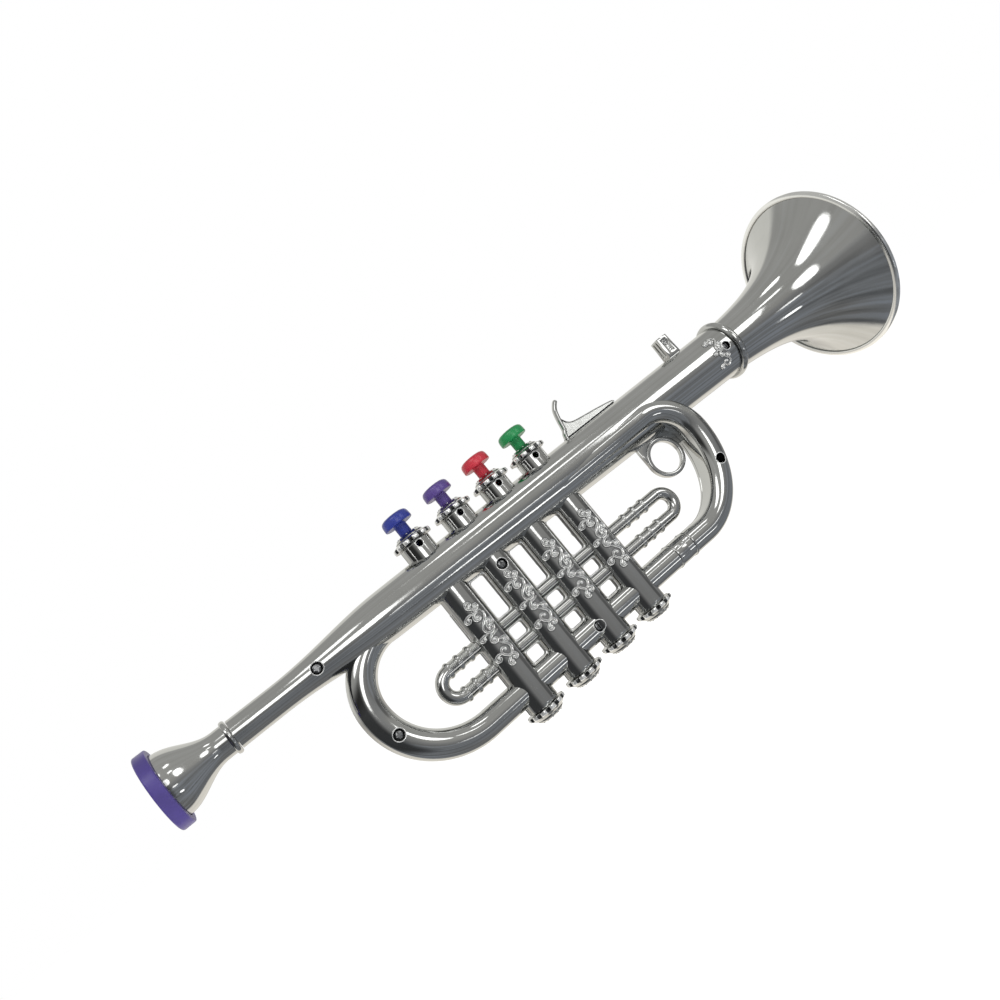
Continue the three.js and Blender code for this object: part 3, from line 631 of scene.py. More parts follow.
def build_shell(side):
    cavity = [tube_skin(-WALL, TUBE[0] - 3, TUBE[1] + 3, 150, 72)]
    tube = part(half_tube(side))
    drill(tube, [rod(x, 0, 20, CASING_R - TOWER_WALL) for x in VALVES], PLATING)
    big = part(along_route(big_route(), side))
    drill(big, cavity, PLATING)
    casings = [part(upright_half(x, CASING_ENDS, side, WALL)) for x in VALVES]
    towers = [part(upright_half(x, TOWER_ENDS, side, TOWER_WALL)) for x in VALVES]
    for o in casings + towers:
        drill(o, cavity, PLATING)
    bosses = [part(boss(name, side)) for name in BOSS_SCREWS]
    lips = []
    if side == FRONT:
        for x, z, face, sink in SCREWS.values():
            lips.append(hole_lip([tube, big] + casings, x, z, 2.45, 0.19))
        lips.append(hole_lip([tube], BELL_SCREW_X, 0, 2.15, 0.2))
        lips += [hole_lip([tower], x, TOWER_HOLE_Z, 1.62, 0.2) for x, tower in zip(VALVES, towers)]
        # Walls of the counterbores and of the bell screw's hole take painted shade; the tower holes' walls
        # take black painted shade
        drill(tube, [counterbore("screw_leadpipe"), hole(BELL_SCREW_X, 0, 2, -20, -9.6)], PAINTED_SHADE)
        drill(big, [counterbore(name) for name in LOOP_SCREWS], PAINTED_SHADE)
        drill(casings[1], [counterbore("screw_valve")], PAINTED_SHADE)
        for name, o in zip(BOSS_SCREWS, bosses):
            drill(o, [counterbore(name)], PAINTED_SHADE)
        for x, tower in zip(VALVES, towers):
            drill(tower, [hole(x, TOWER_HOLE_Z, 1.4, -12, -3)], HOLE_SHADE)
    parts = [tube, big, part(along_route(slide_route(), side))] + casings + towers + bosses
    parts += [part(band, angle=50) for band in shell_bands(side)]
    parts += [leg_sleeve(z, side) for z in SLIDE_Z]
    studs = [face_stud(x, z, low, 2.8, side, 0.38) for z in SLIDE_Z for x in BAND_X for low in (1.5, 0.4)]
    studs += [face_stud(x, LOW_RUN_Z, 2.6, PIPE_R + 0.1 + low_rise(x, side), side, 0.5)
              for x in (206.2, 208.2, 210.2)]
    runs = [(x, *line, side) for x in VALVES for line in LINES]
    # Studs and hole lips take a painted highlight
    parts.append(part(merge(*studs, *lips), PAINTED_HIGHLIGHT, 50))
    # The fine beads take a painted highlight; the wider strips sunk round them are painted shade
    parts.append(part(merge(*[upright_line(*run, 0.2, -0.02) for run in runs]), SATIN_PAINTED_HIGHLIGHT, 50))
    parts.append(part(merge(*[upright_line(*run, 0.62, 0.54) for run in runs]), PAINTED_SHADE, 50))
    for x in VALVES[:3]:
        for foot, top in OPENINGS:
            form = frame_ring(x + CASING_R, x + VALVE_PITCH - CASING_R, foot, top, side)
            # The frame's lip takes a painted highlight, its shade rows painted shade
            lip = part(form, SATIN_PAINTED_HIGHLIGHT, 50)
            paint(lip, PAINTED_SHADE, lambda i: i // (4 * (CORNER_STEPS + 1)) in FRAME_SHADES)
            parts.append(lip)
    relief = [pair for x in VALVES for pair in relief_on_casing(x, side)] + relief_on_collar(side)
    # The ribbons take a painted highlight, their feet and grooves painted shade
    for forms, skin in zip(zip(*relief), (PAINTED_HIGHLIGHT, PAINTED_SHADE)):
        parts.append(part(merge(*forms), skin, 60))
    node = "front_shell" if side == FRONT else "rear_shell"
    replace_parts(join(node + "_plated", parts), node)


# Scroll relief


def tenths(curls):
    """Curls given in tenths of a millimetre."""
    return [[(u / 10, v / 10) for u, v in curl] for curl in curls]


# Each curl is a line of (across, z) on the front of a casing
SCROLL = tenths([
    [(3, -192), (-9, -186), (-20, -174), (-17, -160), (-4, -158), (1, -168), (-7, -173)],
    [(-2, -194), (10, -196), (20, -189), (18, -179), (9, -178), (8, -184)],
    [(1, -189), (-2, -198), (1, -206)],
    [(-5, -204), (-25, -202), (-42, -203), (-55, -210), (-53, -220), (-42, -223), (-34, -217),
     (-39, -212)],
    [(22, -206), (9, -203), (-6, -206), (-19, -216), (-20, -230), (-9, -236), (1, -230), (-2, -221),
     (-10, -223)],
    [(20, -208), (24, -223), (16, -240), (0, -252), (-14, -266), (-18, -282), (-9, -296), (6, -299),
     (18, -292), (19, -280), (10, -276)],
    [(19, -244), (7, -258), (1, -274), (3, -285)],
    [(10, -256), (19, -251), (30, -255), (34, -265), (27, -273), (18, -269), (22, -262)],
    [(-13, -298), (-32, -297), (-49, -298), (-54, -306), (-45, -312), (-36, -308)],
    [(28, -305), (12, -308), (-6, -309), (-19, -319), (-20, -333), (-9, -340), (2, -334), (-1, -325),
     (-8, -326)],
    [(4, -336), (16, -339), (31, -343), (36, -353), (28, -361), (18, -357), (21, -350)],
    [(-3, -344), (8, -356), (20, -368), (26, -384), (19, -400), (4, -409), (-10, -402), (-18, -388),
     (-14, -375), (-3, -372), (1, -380)],
    [(-12, -390), (-26, -386), (-42, -385), (-54, -392), (-52, -403), (-40, -406), (-33, -399),
     (-39, -394)],
    [(2, -410), (-8, -420), (-19, -430), (-15, -442), (-4, -442), (-5, -433)],
    [(3, -412), (13, -410), (23, -418), (22, -429), (12, -432), (9, -424)],
])


def spline(points, per=5):
    """A smooth line through the given points."""
    pts = [Vector(p) for p in points]
    pts = [pts[0] * 2 - pts[1]] + pts + [pts[-1] * 2 - pts[-2]]
    out = []
    for i in range(1, len(pts) - 2):
        a, b, c, d = pts[i - 1:i + 3]
        for k in range(per):
            t = k / per
            out.append(0.5 * (2 * b + (c - a) * t + (2 * a - 5 * b + 4 * c - d) * t * t
                              + (3 * b - a - 3 * c + d) * t ** 3))
    out.append(pts[-2])
    return out


RIBBON = [(-1, -0.2), (-0.9, 0.55), (-0.62, 0.95), (-0.35, 0.85), (0, 0.35), (0.35, 0.85), (0.62, 0.95),
          (0.9, 0.55), (1, -0.2)]
RIBBON_FOOT = [(-1.42, -0.2), (-1.36, 0.1), (1.36, 0.1), (1.42, -0.2)]
RIBBON_GROOVE = [(-0.34, 0.3), (-0.3, 0.62), (0.3, 0.62), (0.34, 0.3)]


def bead_line(points, surface, width, height):
    """A raised ribbon with a groove along it, and a bud at its curled end: a bright form, whose paleness is
    a painted highlight, and a dark one for its foot and groove, which is painted shade. surface turns (u, v)
    into a point and its outward normal."""
    line = spline(points)
    n = len(line)
    placed = [surface(p.x, p.y) for p in line]
    rings, foot, groove = [], [], []
    for i, (at, normal) in enumerate(placed):
        before, after = placed[max(0, i - 1)][0], placed[min(n - 1, i + 1)][0]
        way = (after - before).normalized()
        across = way.cross(normal).normalized()
        t = i / (n - 1)
        size = min(1, 0.35 + 4 * t, 0.6 + 3.2 * (1 - t))
        for row, outline in ((rings, RIBBON), (foot, RIBBON_FOOT), (groove, RIBBON_GROOVE)):
            row.append([tuple(at + across * (width / 2 * size * u) + normal * (height * size * v))
                        for u, v in outline])
    at, normal = placed[-1]
    side = normal.orthogonal().normalized()
    other = normal.cross(side)
    bud = []
    for a in (-0.2, 0.35, 0.8, 1.2, 1.5):
        reach, lift = width * 0.62 * cos(a), normal * (height * 1.25 * sin(a))
        bud.append([tuple(at + (side * cos(b) + other * sin(b)) * reach + lift) for b in turn(10)])
    return merge(loft(rings), loft(bud)), merge(loft(foot), loft(groove))


def relief_on_casing(x, side):
    def surface(u, z):
        a = u / CASING_R
        out = Vector((sin(a), side * cos(a), 0))
        return Vector((x, 0, z)) + out * CASING_R, out

    return [bead_line(line, surface, 1.15, 0.68) for line in SCROLL]


def relief_on_collar(side):
    """Smaller copies of some curls, beside the bell's collar."""
    def surface(u, v):
        x = 284.2 + 0.8 * u
        radius = tube_radius(x)
        a = (v + 30) * 0.72 / radius
        out = Vector((0, side * cos(a), sin(a)))
        return Vector((x, 0, 0)) + out * radius, out

    return [bead_line(line, surface, 0.95, 0.48) for line in SCROLL[2:13]]


build_shell(FRONT)
build_shell(REAR)

# Bell and mouthpiece


def bell_radius(share):
    return 12.3 + 32 * (0.29 * share ** 1.29 + 0.71 * share ** 3.87)


BELL_START, BELL_END, BELL_LIP = 296.2, 370, 368.4
BELL_WALL = 1.5
SPIGOT_X = 280.5


def bell_form():
    span = BELL_END - BELL_START
    places = [sin(t * pi / 2) * (BELL_LIP - BELL_START) / span for t in steps(0, 1, 90)]
    outside = [(BELL_START + span * s, bell_radius(s)) for s in places]
    inside = []
    small = 1e-3
    for s in places:
        grown = bell_radius(s + small) - bell_radius(max(0, s - small))
        slope = grown / (2 * small if s > small else small) / span
        inside.append((BELL_START + span * s, bell_radius(s) - BELL_WALL * hypot(1, slope)))
    lip_ring = [(368.3, 41.95), (368, 41.9), (367.72, 42), (367.62, 42.25), (367.9, 43.75)]
    lip_ring += [(368.55 - 0.6 * cos(a), 43.7 + 0.6 * sin(a)) for a in steps(0.3, pi / 2, 6)]
    lip_ring += [(369.4 + 0.6 * cos(a), 43.7 + 0.6 * sin(a)) for a in steps(pi / 2, -0.6, 8)]
    bead = [(294.5 - 1.7 * cos(a), 13.3 + 1.3 * sin(a)) for a in steps(0, pi, 14)]
    spigot = tube_radius(SPIGOT_X) - 2.2
    profile = [(SPIGOT_X, spigot - BELL_WALL), (SPIGOT_X, spigot), (292.8, spigot), (292.8, 12.4)] + bead
    profile += [(BELL_START, 12.5)] + outside + lip_ring + inside[::-1]
    return lathe(profile, "x", 180, loop=True)


def on_lip(at):
    """Whether a place on the bell lies on its rolled lip."""
    return at.x > (367.65 - GRIP.x) * MM and hypot(at.y, at.z + GRIP.z * MM) > 42 * MM


bell = make("bell_plated", bell_form(), PLATING, angle=38)
# The bell screw hole's wall takes black painted shade, the rolled lip a painted highlight
drill(bell, [hole(BELL_SCREW_X, 0, 1.25, -13, -7)], HOLE_SHADE, 38)
paint(bell, LIP_PAINTED_HIGHLIGHT, lambda i: on_lip(bell.data.polygons[i].center))
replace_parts(bell, "bell")


def cup_form():
    cone = [(4.8 + 19 * t, lerp(12, LEADPIPE_R, (1 - cos(pi * t)) / 2)) for t in steps(0, 1, 40)]
    bowl = [(2.5 + 16 * (1 - t), lerp(2.4, 9.6, sin(t * pi / 2))) for t in steps(0, 1, 30)]
    bead = [(28.2 - cos(a), 5.9 + 0.7 * sin(a)) for a in steps(0.1, pi - 0.1, 12)]
    profile = [(2.5, 11.8), (2.7, 12)] + cone + [(27.1, LEADPIPE_R)] + bead
    profile += [(29.2, 3.6), (38, 3.6), (38.2, 3.4), (38.2, 2.4)] + bowl
    return lathe(profile, "x", 128, loop=True)


cup = make("mouthpiece_cup_plated", cup_form(), PLATING, angle=38)
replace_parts(cup, "mouthpiece_cup")

RIM_OUTLINE = [(2.2, 9.6), (0, 9.6), (0, 14.7), (4.8, 14.7), (4.8, 12.3), (2.2, 12.3)]
rim = make("mouthpiece_rim_moulded",
           lathe(rounded(RIM_OUTLINE, [0.3, 1.1, 0.9, 0.6, 0.25, 0.1], 8, loop=True), "x", 128, loop=True),
           RIM, angle=38)
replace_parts(rim, "mouthpiece_rim")

# Finger ring, hook and lyre socket


def plate(outline, half):
    n = len(outline)
    points = [(x, -half, z) for x, z in outline] + [(x, half, z) for x, z in outline]
    faces = [list(range(n)), [n + i for i in reversed(range(n))]]
    faces += [[i, (i + 1) % n, n + (i + 1) % n, n + i] for i in range(n)]
    return points, faces


RING = Vector((233.5, -21.3))
RING_SECTION = rounded([(-1.5, 7.3), (-1.5, 9.3), (1.5, 9.3), (1.5, 7.3)], 0.75, 6, loop=True)


def web_outline():
    cx, cz, inner = RIGHT_TOP[0], RIGHT_TOP[1], 13.7
    start, end = asin(9.2 / inner), asin(-0.6 / inner)
    edge = [(224.2, -20.6), (224.2, -10.8)]
    edge += [(cx + inner * cos(a), cz + inner * sin(a)) for a in steps(start, end, 20)]
    rim_r = 8.3
    first = asin(0.7 / rim_r)
    edge += [(RING.x + rim_r * cos(a), RING.y + rim_r * sin(a))
             for a in steps(first, pi - first, 40)]
    return edge


ring_band_form = lathe(RING_SECTION, "y", 96, (RING.x, 0, RING.y), loop=True)
ring_parts = [part(ring_band_form), part(plate(web_outline(), 1), bevel=0.18)]
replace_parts(join("finger_ring_plated", ring_parts), "finger_ring")

# The hook's finger and the edge of its web, as shares of its length and height
HOOK = [(0, -0.05), (0.03, 0.13), (0.07, 0.25), (0.102, 0.49), (0.15, 0.74), (0.225, 0.9), (0.27, 0.955)]
HOOK_WEB = [(0.155, 0.46), (0.2, 0.33), (0.28, 0.25), (0.455, 0.205), (0.68, 0.16), (0.94, 0.095), (1, 0.05)]
HOOK_ROD = 1.05


def hook_place(p):
    return Vector((200.8 + 31 * p[0], 11.17 + 18.1 * p[1]))


def edge_rod(edge, shift, flat, half, sides, tips=(1, 1)):
    """An oval rod along a side-view edge, set off from it by shift; tips shrinks its last two rings."""
    rings = []
    last = len(edge) - 1
    for i, p in enumerate(edge):
        way = (edge[min(i + 1, last)] - edge[max(0, i - 1)]).normalized()
        across = Vector((way.y, -way.x))
        centre = p + across * shift
        size = {last - 1: tips[0], last: tips[1]}.get(i, 1)
        rings.append([(centre.x + across.x * flat * size * cos(a), half * size * sin(a),
                       centre.y + across.y * flat * size * cos(a)) for a in turn(sides)])
    return loft(rings)


def hook_edge(line):
    return [hook_place(p) for p in spline(line, 6)]


def hook_web():
    """A thin web behind the finger, thicker at its foot."""
    outline = [(p.x, p.y) for p in hook_edge(HOOK_WEB)]
    outline += [(232, 9.6), (201.6, 9.6), tuple(hook_place((0.1, 0.3)))]
    points, faces = plate(outline, 1)
    return [(x, y * (1.05 - 0.055 * (z - 11)), z) for x, y, z in points], faces


def hook_crease_shade():
    """A black strip along the foot of the hook: painted shade in the joint with the tube."""
    places = steps(201.2, 231, 40)
    foot = [(x, tube_radius(x) + 0.02) for x in places]
    head = [(x, tube_radius(x) + 0.42) for x in reversed(places)]
    return plate(foot + head, 1.25)


finger = edge_rod(hook_edge(HOOK), HOOK_ROD, HOOK_ROD, 1.6, 20, (0.86, 0.55))
web_bead = edge_rod(hook_edge(HOOK_WEB), 0, 0.42, 1.2, 12)
# The web takes the paler, grainier plating, its tone partly painted light
hook_parts = [part(finger, angle=60), part(hook_web(), WEB_SKIN_PAINTED_LIGHT), part(web_bead, angle=60)]
for o in hook_parts:
    drill(o, [tube_skin(0.06, 195, 240)], PLATING, 50)
# The black strip at the hook's foot is painted shade
hook_parts.append(part(hook_crease_shade(), HOLE_SHADE))
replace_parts(join("finger_hook_plated", hook_parts), "finger_hook")

SOCKET_X = 271.4
SOCKET_FOOT = tube_radius(SOCKET_X + 3.45) + 0.3


def box(low, high):
    (x0, y0, z0), (x1, y1, z1) = low, high
    points = [(x, y, z) for x in (x0, x1) for y in (y0, y1) for z in (z0, z1)]
    faces = [[0, 1, 3, 2], [4, 6, 7, 5], [0, 4, 5, 1], [2, 3, 7, 6], [0, 2, 6, 4], [1, 5, 7, 3]]
    return points, faces


def socket_block(half_x, half_y, low, high, lean):
    """A square block that narrows upward by lean on each side."""
    points, faces = box((SOCKET_X - half_x, -half_y, low), (SOCKET_X + half_x, half_y, high))
    placed = []
    for x, y, z in points:
        inward = lean if z == high else 0
        placed.append((x - copysign(inward, x - SOCKET_X), y - copysign(inward, y), z))
    return placed, faces


# Curls on the socket's front and rear, as (across, up) from the foot of its panel
SOCKET_SCROLL = tenths([
    [(9, 59), (1, 63), (-8, 59), (-9, 50), (0, 44), (9, 38), (9, 28), (0, 24), (-8, 28)],
    [(-9, 19), (-2, 15), (7, 17), (9, 10), (2, 6), (-6, 8)],
    [(9, 50), (4, 52), (2, 49)],
    [(-9, 36), (-4, 35), (-3, 32)],
])


def socket_piece():
    foot, top = SOCKET_FOOT, SOCKET_FOOT + 9.6
    body = part(socket_block(3.45, 3, foot - 1.6, top, 0.3))
    drill(body, [box((SOCKET_X - 1.75, -1.55, foot + 1.4), (SOCKET_X + 1.75, 1.55, top + 3)),
                 tube_skin(0.06, 262, 281)], PLATING)
    for side in (FRONT, REAR):
        near, far = sorted((side * 2.45, side * 4))
        drill(body, [box((SOCKET_X - 1.8, near, foot + 1.3), (SOCKET_X + 1.8, far, top - 1.1))], PLATING)
        near, far = sorted((SOCKET_X + side * 2.85, SOCKET_X + side * 5))
        for y in (-1.1, 1.1):
            drill(body, [box((near, y - 0.45, foot + 1), (far, y + 0.45, top - 0.9))], PLATING)
    bevel_edges(body, 0.14, 60)
    smooth(body.data, 35)
    parts = [body]
    for side in (FRONT, REAR):
        def surface(u, v):
            return Vector((SOCKET_X + u, side * 2.42, foot + 1.3 + v)), Vector((0, side, 0))

        # The curls take a painted highlight, their feet and grooves painted shade
        for line in SOCKET_SCROLL:
            for form, skin in zip(bead_line(line, surface, 0.5, 0.3), (PAINTED_HIGHLIGHT, PAINTED_SHADE)):
                parts.append(part(form, skin, 60))
    return join("lyre_socket_plated", parts)


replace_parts(socket_piece(), "lyre_socket")

# Screws

SHANK_R = 1.0
THREAD = 0.5


def cross_outline(x, z, half, arm):
    pts = [(half, half), (half, arm), (-half, arm), (-half, half), (-arm, half), (-arm, -half),
           (-half, -half), (-half, -arm), (half, -arm), (half, -half), (arm, -half), (arm, half)]
    return [(x + a, z + b) for a, b in pts]


def screw_form(x, z, front, head, thick, end):
    cap = rounded([(front, 0), (front, head * 0.62), (front + thick * 0.45, head), (front + thick, head),
                   (front + thick, SHANK_R)], [0, 0.5, 0.25, 0.12, 0.05], 4)
    first = front + thick + 0.3
    thread = []
    for i in range(int((end - front - thick - 0.6) / THREAD)):
        thread += [(first + THREAD * i, SHANK_R * 0.8), (first + THREAD * i + THREAD / 2, SHANK_R)]
    return lathe(cap + thread + [(end - 0.3, SHANK_R * 0.8), (end, 0)], "y", 40, (x, 0, z))


def screw(name, x, z, front, head, thick, end):
    piece = make(name + "_steel", screw_form(x, z, front, head, thick, end), STEEL)
    points, faces = plate(cross_outline(x, z, 0.3, head * 0.68), 1.5)
    shifted = [(px, py + front - 0.8, pz) for px, py, pz in points]
    drill(piece, [(shifted, faces)], STEEL, 30)
    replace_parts(piece, name)


for name, (x, z, face, sink) in SCREWS.items():
    screw(name, x, z, -(face - sink), 2, HEAD, 3.6)
bell_front = -tube_radius(BELL_SCREW_X) + 0.5
screw("screw_bell", BELL_SCREW_X, 0, bell_front, 1.6, 0.9, bell_front + 3.2)

# Keys and caps

KEY_HEAD = [(29.2, 0), (29.17, 2), (29.05, 3.6), (28.85, 4.7), (28.5, 5.4), (28, 5.83), (27.3, 6.05),
            (26.4, 6.15), (25.3, 6.2), (24.85, 6.16), (24.6, 6), (24.5, 5.75), (24.5, 3.5),
            (24.42, 3.1), (24.2, 2.8), (23.8, 2.65)]
KEY_FOOT = rounded([(16.9, 2.65), (16.7, 2.65), (16.7, 3.9), (15.3, 3.9), (15.3, 1.3), (2.2, 1.3),
                    (2.2, 2.2), (1.3, 2.2), (1.3, 0)], 0.2, 3)
LOBES = 12
LOBE_STEPS = 14
LOBE_COLUMNS = LOBES * LOBE_STEPS


def scalloped(rows, centre):
    """Rings about an upright line; each row is (z, radius), and the depth of its hollows if it has lobes."""
    rings = []
    for z, radius, *cut in rows:
        ring = []
        for a in turn(LOBE_COLUMNS):
            reach = radius - sum(cut) * (1 - abs(cos(LOBES * a / 2)))
            ring.append((centre + reach * cos(a), reach * sin(a), z))
        rings.append(ring)
    return rings


def dome_studs(x, z, reach, radius, up):
    """A ring of small domes on the flat of a cap, one between each two lobes."""
    profile = [(up * radius * sin(a), radius * cos(a)) for a in steps(-0.6, pi / 2, 6)]
    profile[-1] = (profile[-1][0], 0)
    return [lathe([(profile[0][0], 0)] + profile, "z", 12, (x + reach * cos(a), reach * sin(a), z))
            for a in turn(LOBES, 0.5)]


# Rows of each cap, whether it is open in the middle, its lobed rows and its ring of studs
CAPS = {
    "tower_cap_": ([
        (14.9, 4.3), (14.9, 4.85), (15.5, 4.85), (15.5, 8.5, 0.9), (15.62, 8.72, 1),
        (15.85, 8.8, 1.05), (16.75, 8.8, 1.05), (17.1, 8.68, 1), (17.35, 8.3, 0.8), (17.5, 7.6, 0.2),
        (17.65, 7.2), (17.95, 6.75), (18.05, 6.35), (18.15, 6.05), (18.28, 6.02),
        (18.38, 6.2), (18.5, 6.22), (18.9, 5.75), (19.3, 5.2), (19.62, 4.75),
        (19.82, 4.3), (19.9, 3.8), (19.9, 3.3), (19.8, 3.05), (19.6, 2.95),
        (17, 2.95), (17, 4.3)], True, (4, 5, 6, 7), (19.35, 4.75, 0.45, 1)),
    "bottom_cap_": ([
        (-61.5, 3.6), (-61.5, 4.5), (-61.7, 4.7), (-64.5, 4.7), (-64.5, 8.5, 0.9),
        (-64.62, 8.72, 1), (-64.85, 8.8, 1.05), (-65.7, 8.8, 1.05), (-66, 8.66, 1),
        (-66.25, 8.2, 0.7), (-66.4, 7.6, 0.2), (-66.6, 7.3), (-67.5, 6.25), (-67.66, 5.95),
        (-67.82, 5.85), (-67.95, 5.95), (-68.1, 5.9), (-68.6, 5.2), (-68.95, 4.6),
        (-69.15, 3.9), (-69.2, 3)], False, (5, 6, 7, 8), (-68.7, 4.6, 0.42, -1)),
}


def in_hollow(i):
    """Whether a face of a cap lies between two lobes."""
    return 4 <= i % LOBE_COLUMNS % LOBE_STEPS <= 9


SPRING_FOOT, SPRING_TOP, SPRING_R, WIRE_R = 5.9, 15, 3.2, 0.3
COILS, COIL_STEPS, WIRE_SIDES = 5, 24, 8


def spring_wire(x):
    """One wire wound from the block up to the flange of the key."""
    rings = []
    for t in steps(0, 1, COILS * COIL_STEPS):
        a = 2 * pi * COILS * t
        out = Vector((cos(a), sin(a), 0))
        middle = Vector((x, 0, lerp(SPRING_FOOT + WIRE_R, SPRING_TOP - WIRE_R, t))) + out * SPRING_R
        rings.append(circle(middle, out, Vector((0, 0, 1)), WIRE_R, WIRE_SIDES))
    return loft(rings)


for name, x in zip(NAMES, VALVES):
    spring = make("key_spring_%s_wire" % name, spring_wire(x), WIRE, angle=60)
    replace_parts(spring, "key_spring_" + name)
    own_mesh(spring)
    key = make("key_%s_moulded" % name, lathe(KEY_HEAD + KEY_FOOT, "z", 96, (x, 0, 0)), KEYS[name],
               body=name + "_key", angle=40)
    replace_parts(key, "key_" + name)
    for kind, (rows, is_open, lobed, studs) in CAPS.items():
        form = merge(loft(scalloped(rows, x), loop=is_open), *dome_studs(x, *studs))
        cap = make(kind + name + "_plated", form, PLATING, angle=40)
        # Faces between the lobes take painted shade, the lobes themselves a painted highlight
        paint(cap, PAINTED_SHADE, lambda i: i // LOBE_COLUMNS in lobed and in_hollow(i))
        paint(cap, PAINTED_HIGHLIGHT, lambda i: i // LOBE_COLUMNS in lobed and not in_hollow(i))
        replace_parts(cap, kind + name)

INNER = {"reed_block": BARE, "reed_plate": BARE}
for name in NAMES:
    INNER["pad_" + name] = RUBBER
    INNER["reed_" + name] = BRASS
for node, skin in INNER.items():
    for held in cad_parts[node].material_slots:
        held.material = skin

# Floor, light and camera


def direction(azimuth, elevation):
    a, e = radians(azimuth), radians(elevation)
    return Vector((cos(e) * sin(a), -cos(e) * cos(a), sin(e)))


def dot(source, vector):
    return add_node(source, "VectorMath", {0: source, 1: vector}, operation="DOT_PRODUCT").outputs["Value"]


def calc(operation, *values):
    near = next(value for value in values if isinstance(value, bpy.types.NodeSocket))
    return add_node(near, "Math", dict(enumerate(values)), operation=operation).outputs[0]


def span(source, low, high):
    """0 below low and 1 above high, with a soft step between."""
    inputs = {"Value": source, "From Min": low, "From Max": high}
    return add_node(source, "MapRange", inputs, interpolation_type="SMOOTHSTEP").outputs["Result"]


def mixed(blend, colour, other, share=1):
    inputs = {"Factor": share, 6: colour, 7: other}
    return add_node(colour, "Mix", inputs, data_type="RGBA", blend_type=blend).outputs[2]


def patch(coords, azimuth, elevation, wide, tall, outer, inner):
    """A soft-edged rounded rectangle of directions: 1 inside and 0 outside."""
    n = direction(azimuth, elevation)
    across = direction(azimuth + 90, 0)
    powers = []
    for axis, half in ((across, wide), (n.cross(across), tall)):
        reach = calc("DIVIDE", dot(coords, axis), sin(radians(half)))
        powers.append(calc("POWER", calc("ABSOLUTE", reach), 3))
    inside = span(calc("ADD", *powers), outer, inner)
    return calc("MULTIPLY", inside, calc("GREATER_THAN", dot(coords, n), 0.2))


# Azimuth from the front, elevation, half width and half height in degrees, and strength
SOFTBOXES = [(-29, 44.5, 19, 8.5, 2.2), (-2, 10, 12, 9.5, 2.2), (37.5, 15.5, 8, 10, 2.2),
             (35, 54, 7, 3.6, 2.2), (26, -41, 6, 2.6, 2.2), (26.5, 31, 6.5, 2.2, 2.2),
             (16, -14.5, 8, 1.8, 1.6)]
PANELS = [(68, -4, 13, 9, 0.5)]
# Colours from straight down, 0, to straight up, 1
FRONT_SKY = [(0, grey(0.21)), (0.07, (0.225, 0.235, 0.25)), (0.29, (0.235, 0.245, 0.26)),
             (0.42, grey(0.25)), (0.485, grey(0.31)), (0.54, (0.425, 0.42, 0.405)),
             (0.75, (0.465, 0.462, 0.445)), (1, (0.465, 0.462, 0.445))]
BACK_SKY = [(0, (0.5, 0.48, 0.44)), (0.08, (1.02, 0.97, 0.88)), (0.3, (1.02, 0.97, 0.88)),
            (0.43, (0.62, 0.59, 0.54)), (0.5, (0.52, 0.50, 0.47)), (0.58, (0.86, 0.85, 0.80)),
            (1, (0.88, 0.87, 0.82))]
STREAKS = [(0.36, grey(0.6)), (0.5, grey(1)), (0.64, (1.32, 1.37, 1.47))]


def studio_sky(tree):
    """The studio that the plating reflects: two skies, fine streaks, dim panels and soft boxes."""
    coords = add_node(tree, "TexCoord").outputs["Generated"]
    right, up = dot(coords, (1, 0, 0)), dot(coords, (0, 0, 1))
    front, rear = dot(coords, (0, -1, 0)), dot(coords, (0, 1, 0))
    height = calc("MULTIPLY_ADD", up, 0.5, 0.5)
    behind = calc("ADD", rear, calc("MULTIPLY", span(up, 0.3, -0.3), 0.07))
    behind = span(behind, 0.42, 0.55)
    sky = mixed("MIX", ramp(height, FRONT_SKY), ramp(height, BACK_SKY), behind)
    around = calc("ARCTAN2", calc("ADD", up, -0.05), calc("ADD", front, 0.8))
    lane = add_node(tree, "CombineXYZ", {0: around, 1: calc("MULTIPLY", right, 0.05)}).outputs[0]
    streaks = ramp(noise(tree, 11, 3, 0.6, lane), STREAKS)
    low = calc("MAXIMUM", span(up, -0.1, -0.25), 0.2)
    near = calc("SUBTRACT", 1, calc("MULTIPLY", behind, 0.8))
    sky = mixed("MULTIPLY", sky, streaks, calc("MULTIPLY", low, near))
    for *place, share in PANELS:
        dim = calc("MULTIPLY", patch(coords, *place, 1.9, 0.2), 1 - share)
        sky = mixed("MULTIPLY", sky, calc("SUBTRACT", 1, dim))
    for *place, power in SOFTBOXES:
        sky = mixed("ADD", sky, calc("MULTIPLY", patch(coords, *place, 1.25, 0.75), power))
    return sky


def switched(ray, other, shown):
    """The shader shown to one kind of ray, and the other to the rest."""
    path = add_node(other, "LightPath")
    return add_node(other, "MixShader", {"Fac": path.outputs[ray], 1: other, 2: shown}).outputs[0]


def show(source, output="Material Output"):
    feed(source.id_data.nodes[output], {"Surface": source})


def studio_world():
    """Glossy rays meet the studio, the camera sees white, and all else is an even grey."""
    world = bpy.data.worlds.new("studio")
    bpy.context.scene.world = world
    world.use_nodes = True
    tree = world.node_tree
    tree.nodes.remove(tree.nodes["Background"])
    studio, plain, white = (add_node(tree, "Background", {"Color": colour}).outputs[0]
                            for colour in (studio_sky(tree), (*grey(0.5), 1), (*grey(1), 1)))
    show(switched("Is Camera Ray", switched("Is Glossy Ray", plain, studio), white), "World Output")


def area_lamp(name, place, power):
    """A round lamp aimed at the part's origin, which reflections don't show."""
    data = bpy.data.lights.new(name, "AREA")
    data.shape = "DISK"
    data.size = 0.9
    data.energy = power
    lamp = add_object(name, data)
    lamp.location = place
    lamp.rotation_euler = Vector(place).to_track_quat("Z", "Y").to_euler()
    lamp.visible_glossy = False


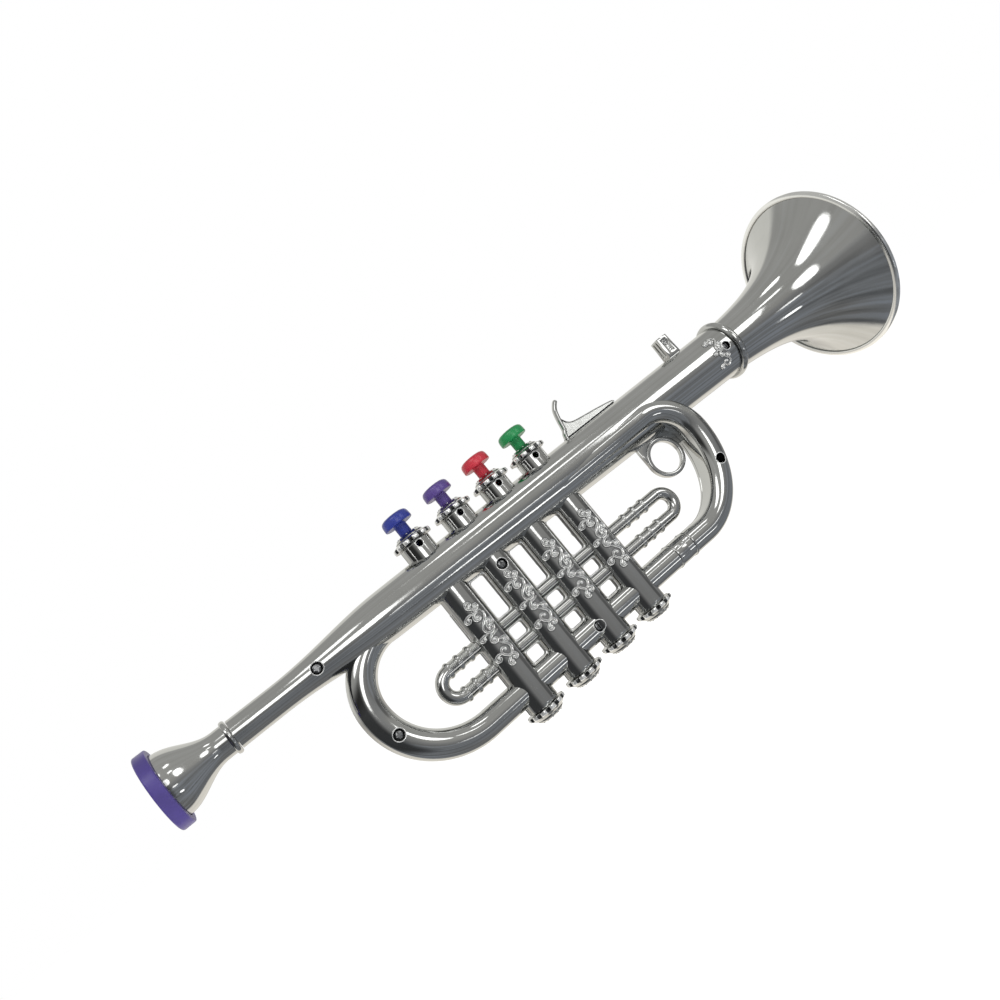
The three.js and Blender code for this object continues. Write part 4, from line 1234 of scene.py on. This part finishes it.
def stage_sheet(name, corners):
    """A flat sheet that isn't part of the object, with its shader."""
    mesh = bpy.data.meshes.new(name)
    mesh.from_pydata(corners, [], [[0, 1, 2, 3]])
    obj = add_object(name, mesh)
    material, shader = nodes_of(name)
    mesh.materials.append(material)
    return obj, shader


def flag():
    """A soft-edged dark card at the left of the camera, which only reflections show."""
    near, far, low, high = (-0.09, -0.33), (-0.34, 0.06), -0.26, 0.16
    obj, shader = stage_sheet("flag", [(*near, low), (*far, low), (*far, high), (*near, high)])
    layer = obj.data.uv_layers.new(name="card")
    for loop, place in zip(layer.data, [(0, 0), (1, 0), (1, 1), (0, 1)]):
        loop.uv = place
    uv = add_node(shader, "UVMap").outputs["UV"]
    across, up = add_node(shader, "SeparateXYZ", {0: uv}).outputs[:2]
    edge = calc("MULTIPLY", span(across, 0.02, 0.42), span(up, 0, 0.3))
    edge = calc("MULTIPLY", edge, span(up, 1, 0.8))
    dark = ramp(up, [(0.68, (0.04, 0.042, 0.044)), (0.77, grey(0.012))])
    card = add_node(shader, "Emission", {"Color": dark}).outputs[0]
    clear = add_node(shader, "BsdfTransparent").outputs[0]
    both = add_node(shader, "MixShader", {"Fac": calc("MULTIPLY", edge, 0.94), 1: clear, 2: card})
    show(both.outputs[0])
    obj.visible_camera = obj.visible_diffuse = obj.visible_shadow = obj.visible_transmission = False


def floor():
    """A pale floor, clear to glossy rays, so that reflections show the studio instead."""
    size, depth = 40, -0.24
    corners = [(-size, -size, depth), (size, -size, depth), (size, size, depth), (-size, size, depth)]
    shader = stage_sheet("floor", corners)[1]
    feed(shader, {"Base Color": (*grey(0.9), 1), "Roughness": 0.9, "Specular IOR Level": 0})
    glow = add_node(shader, "Emission", {"Strength": 0.62}).outputs[0]
    pale = add_node(shader, "AddShader", {0: shader.outputs[0], 1: glow}).outputs[0]
    show(switched("Is Glossy Ray", pale, add_node(shader, "BsdfTransparent").outputs[0]))


def camera():
    """Stands where the photograph was taken; its axes are right, up and back."""
    obj = add_object("camera", bpy.data.cameras.new("camera"))
    right = Vector((0.7328, -0.2451, -0.6347))
    up = Vector((0.5609, -0.3105, 0.7675))
    back = Vector((-0.3852, -0.9184, -0.0901))
    placed = Matrix((right, up, back)).transposed().to_4x4()
    placed.translation = Vector((-114.055, -310.6, 17.2)) * MM
    obj.matrix_world = placed
    obj.data.sensor_width = 36
    obj.data.lens = 29.635
    obj.data.shift_x = -0.00903
    obj.data.shift_y = -0.01655
    obj.data.clip_start = 0.01
    bpy.context.scene.camera = obj


studio_world()
floor()
flag()
area_lamp("key_light", (-0.5, -1.2, 0.9), 9.5)
area_lamp("back_light", (0.8, 1.2, 0.9), 6.5)
camera()
bpy.context.scene.view_settings.view_transform = "Standard"
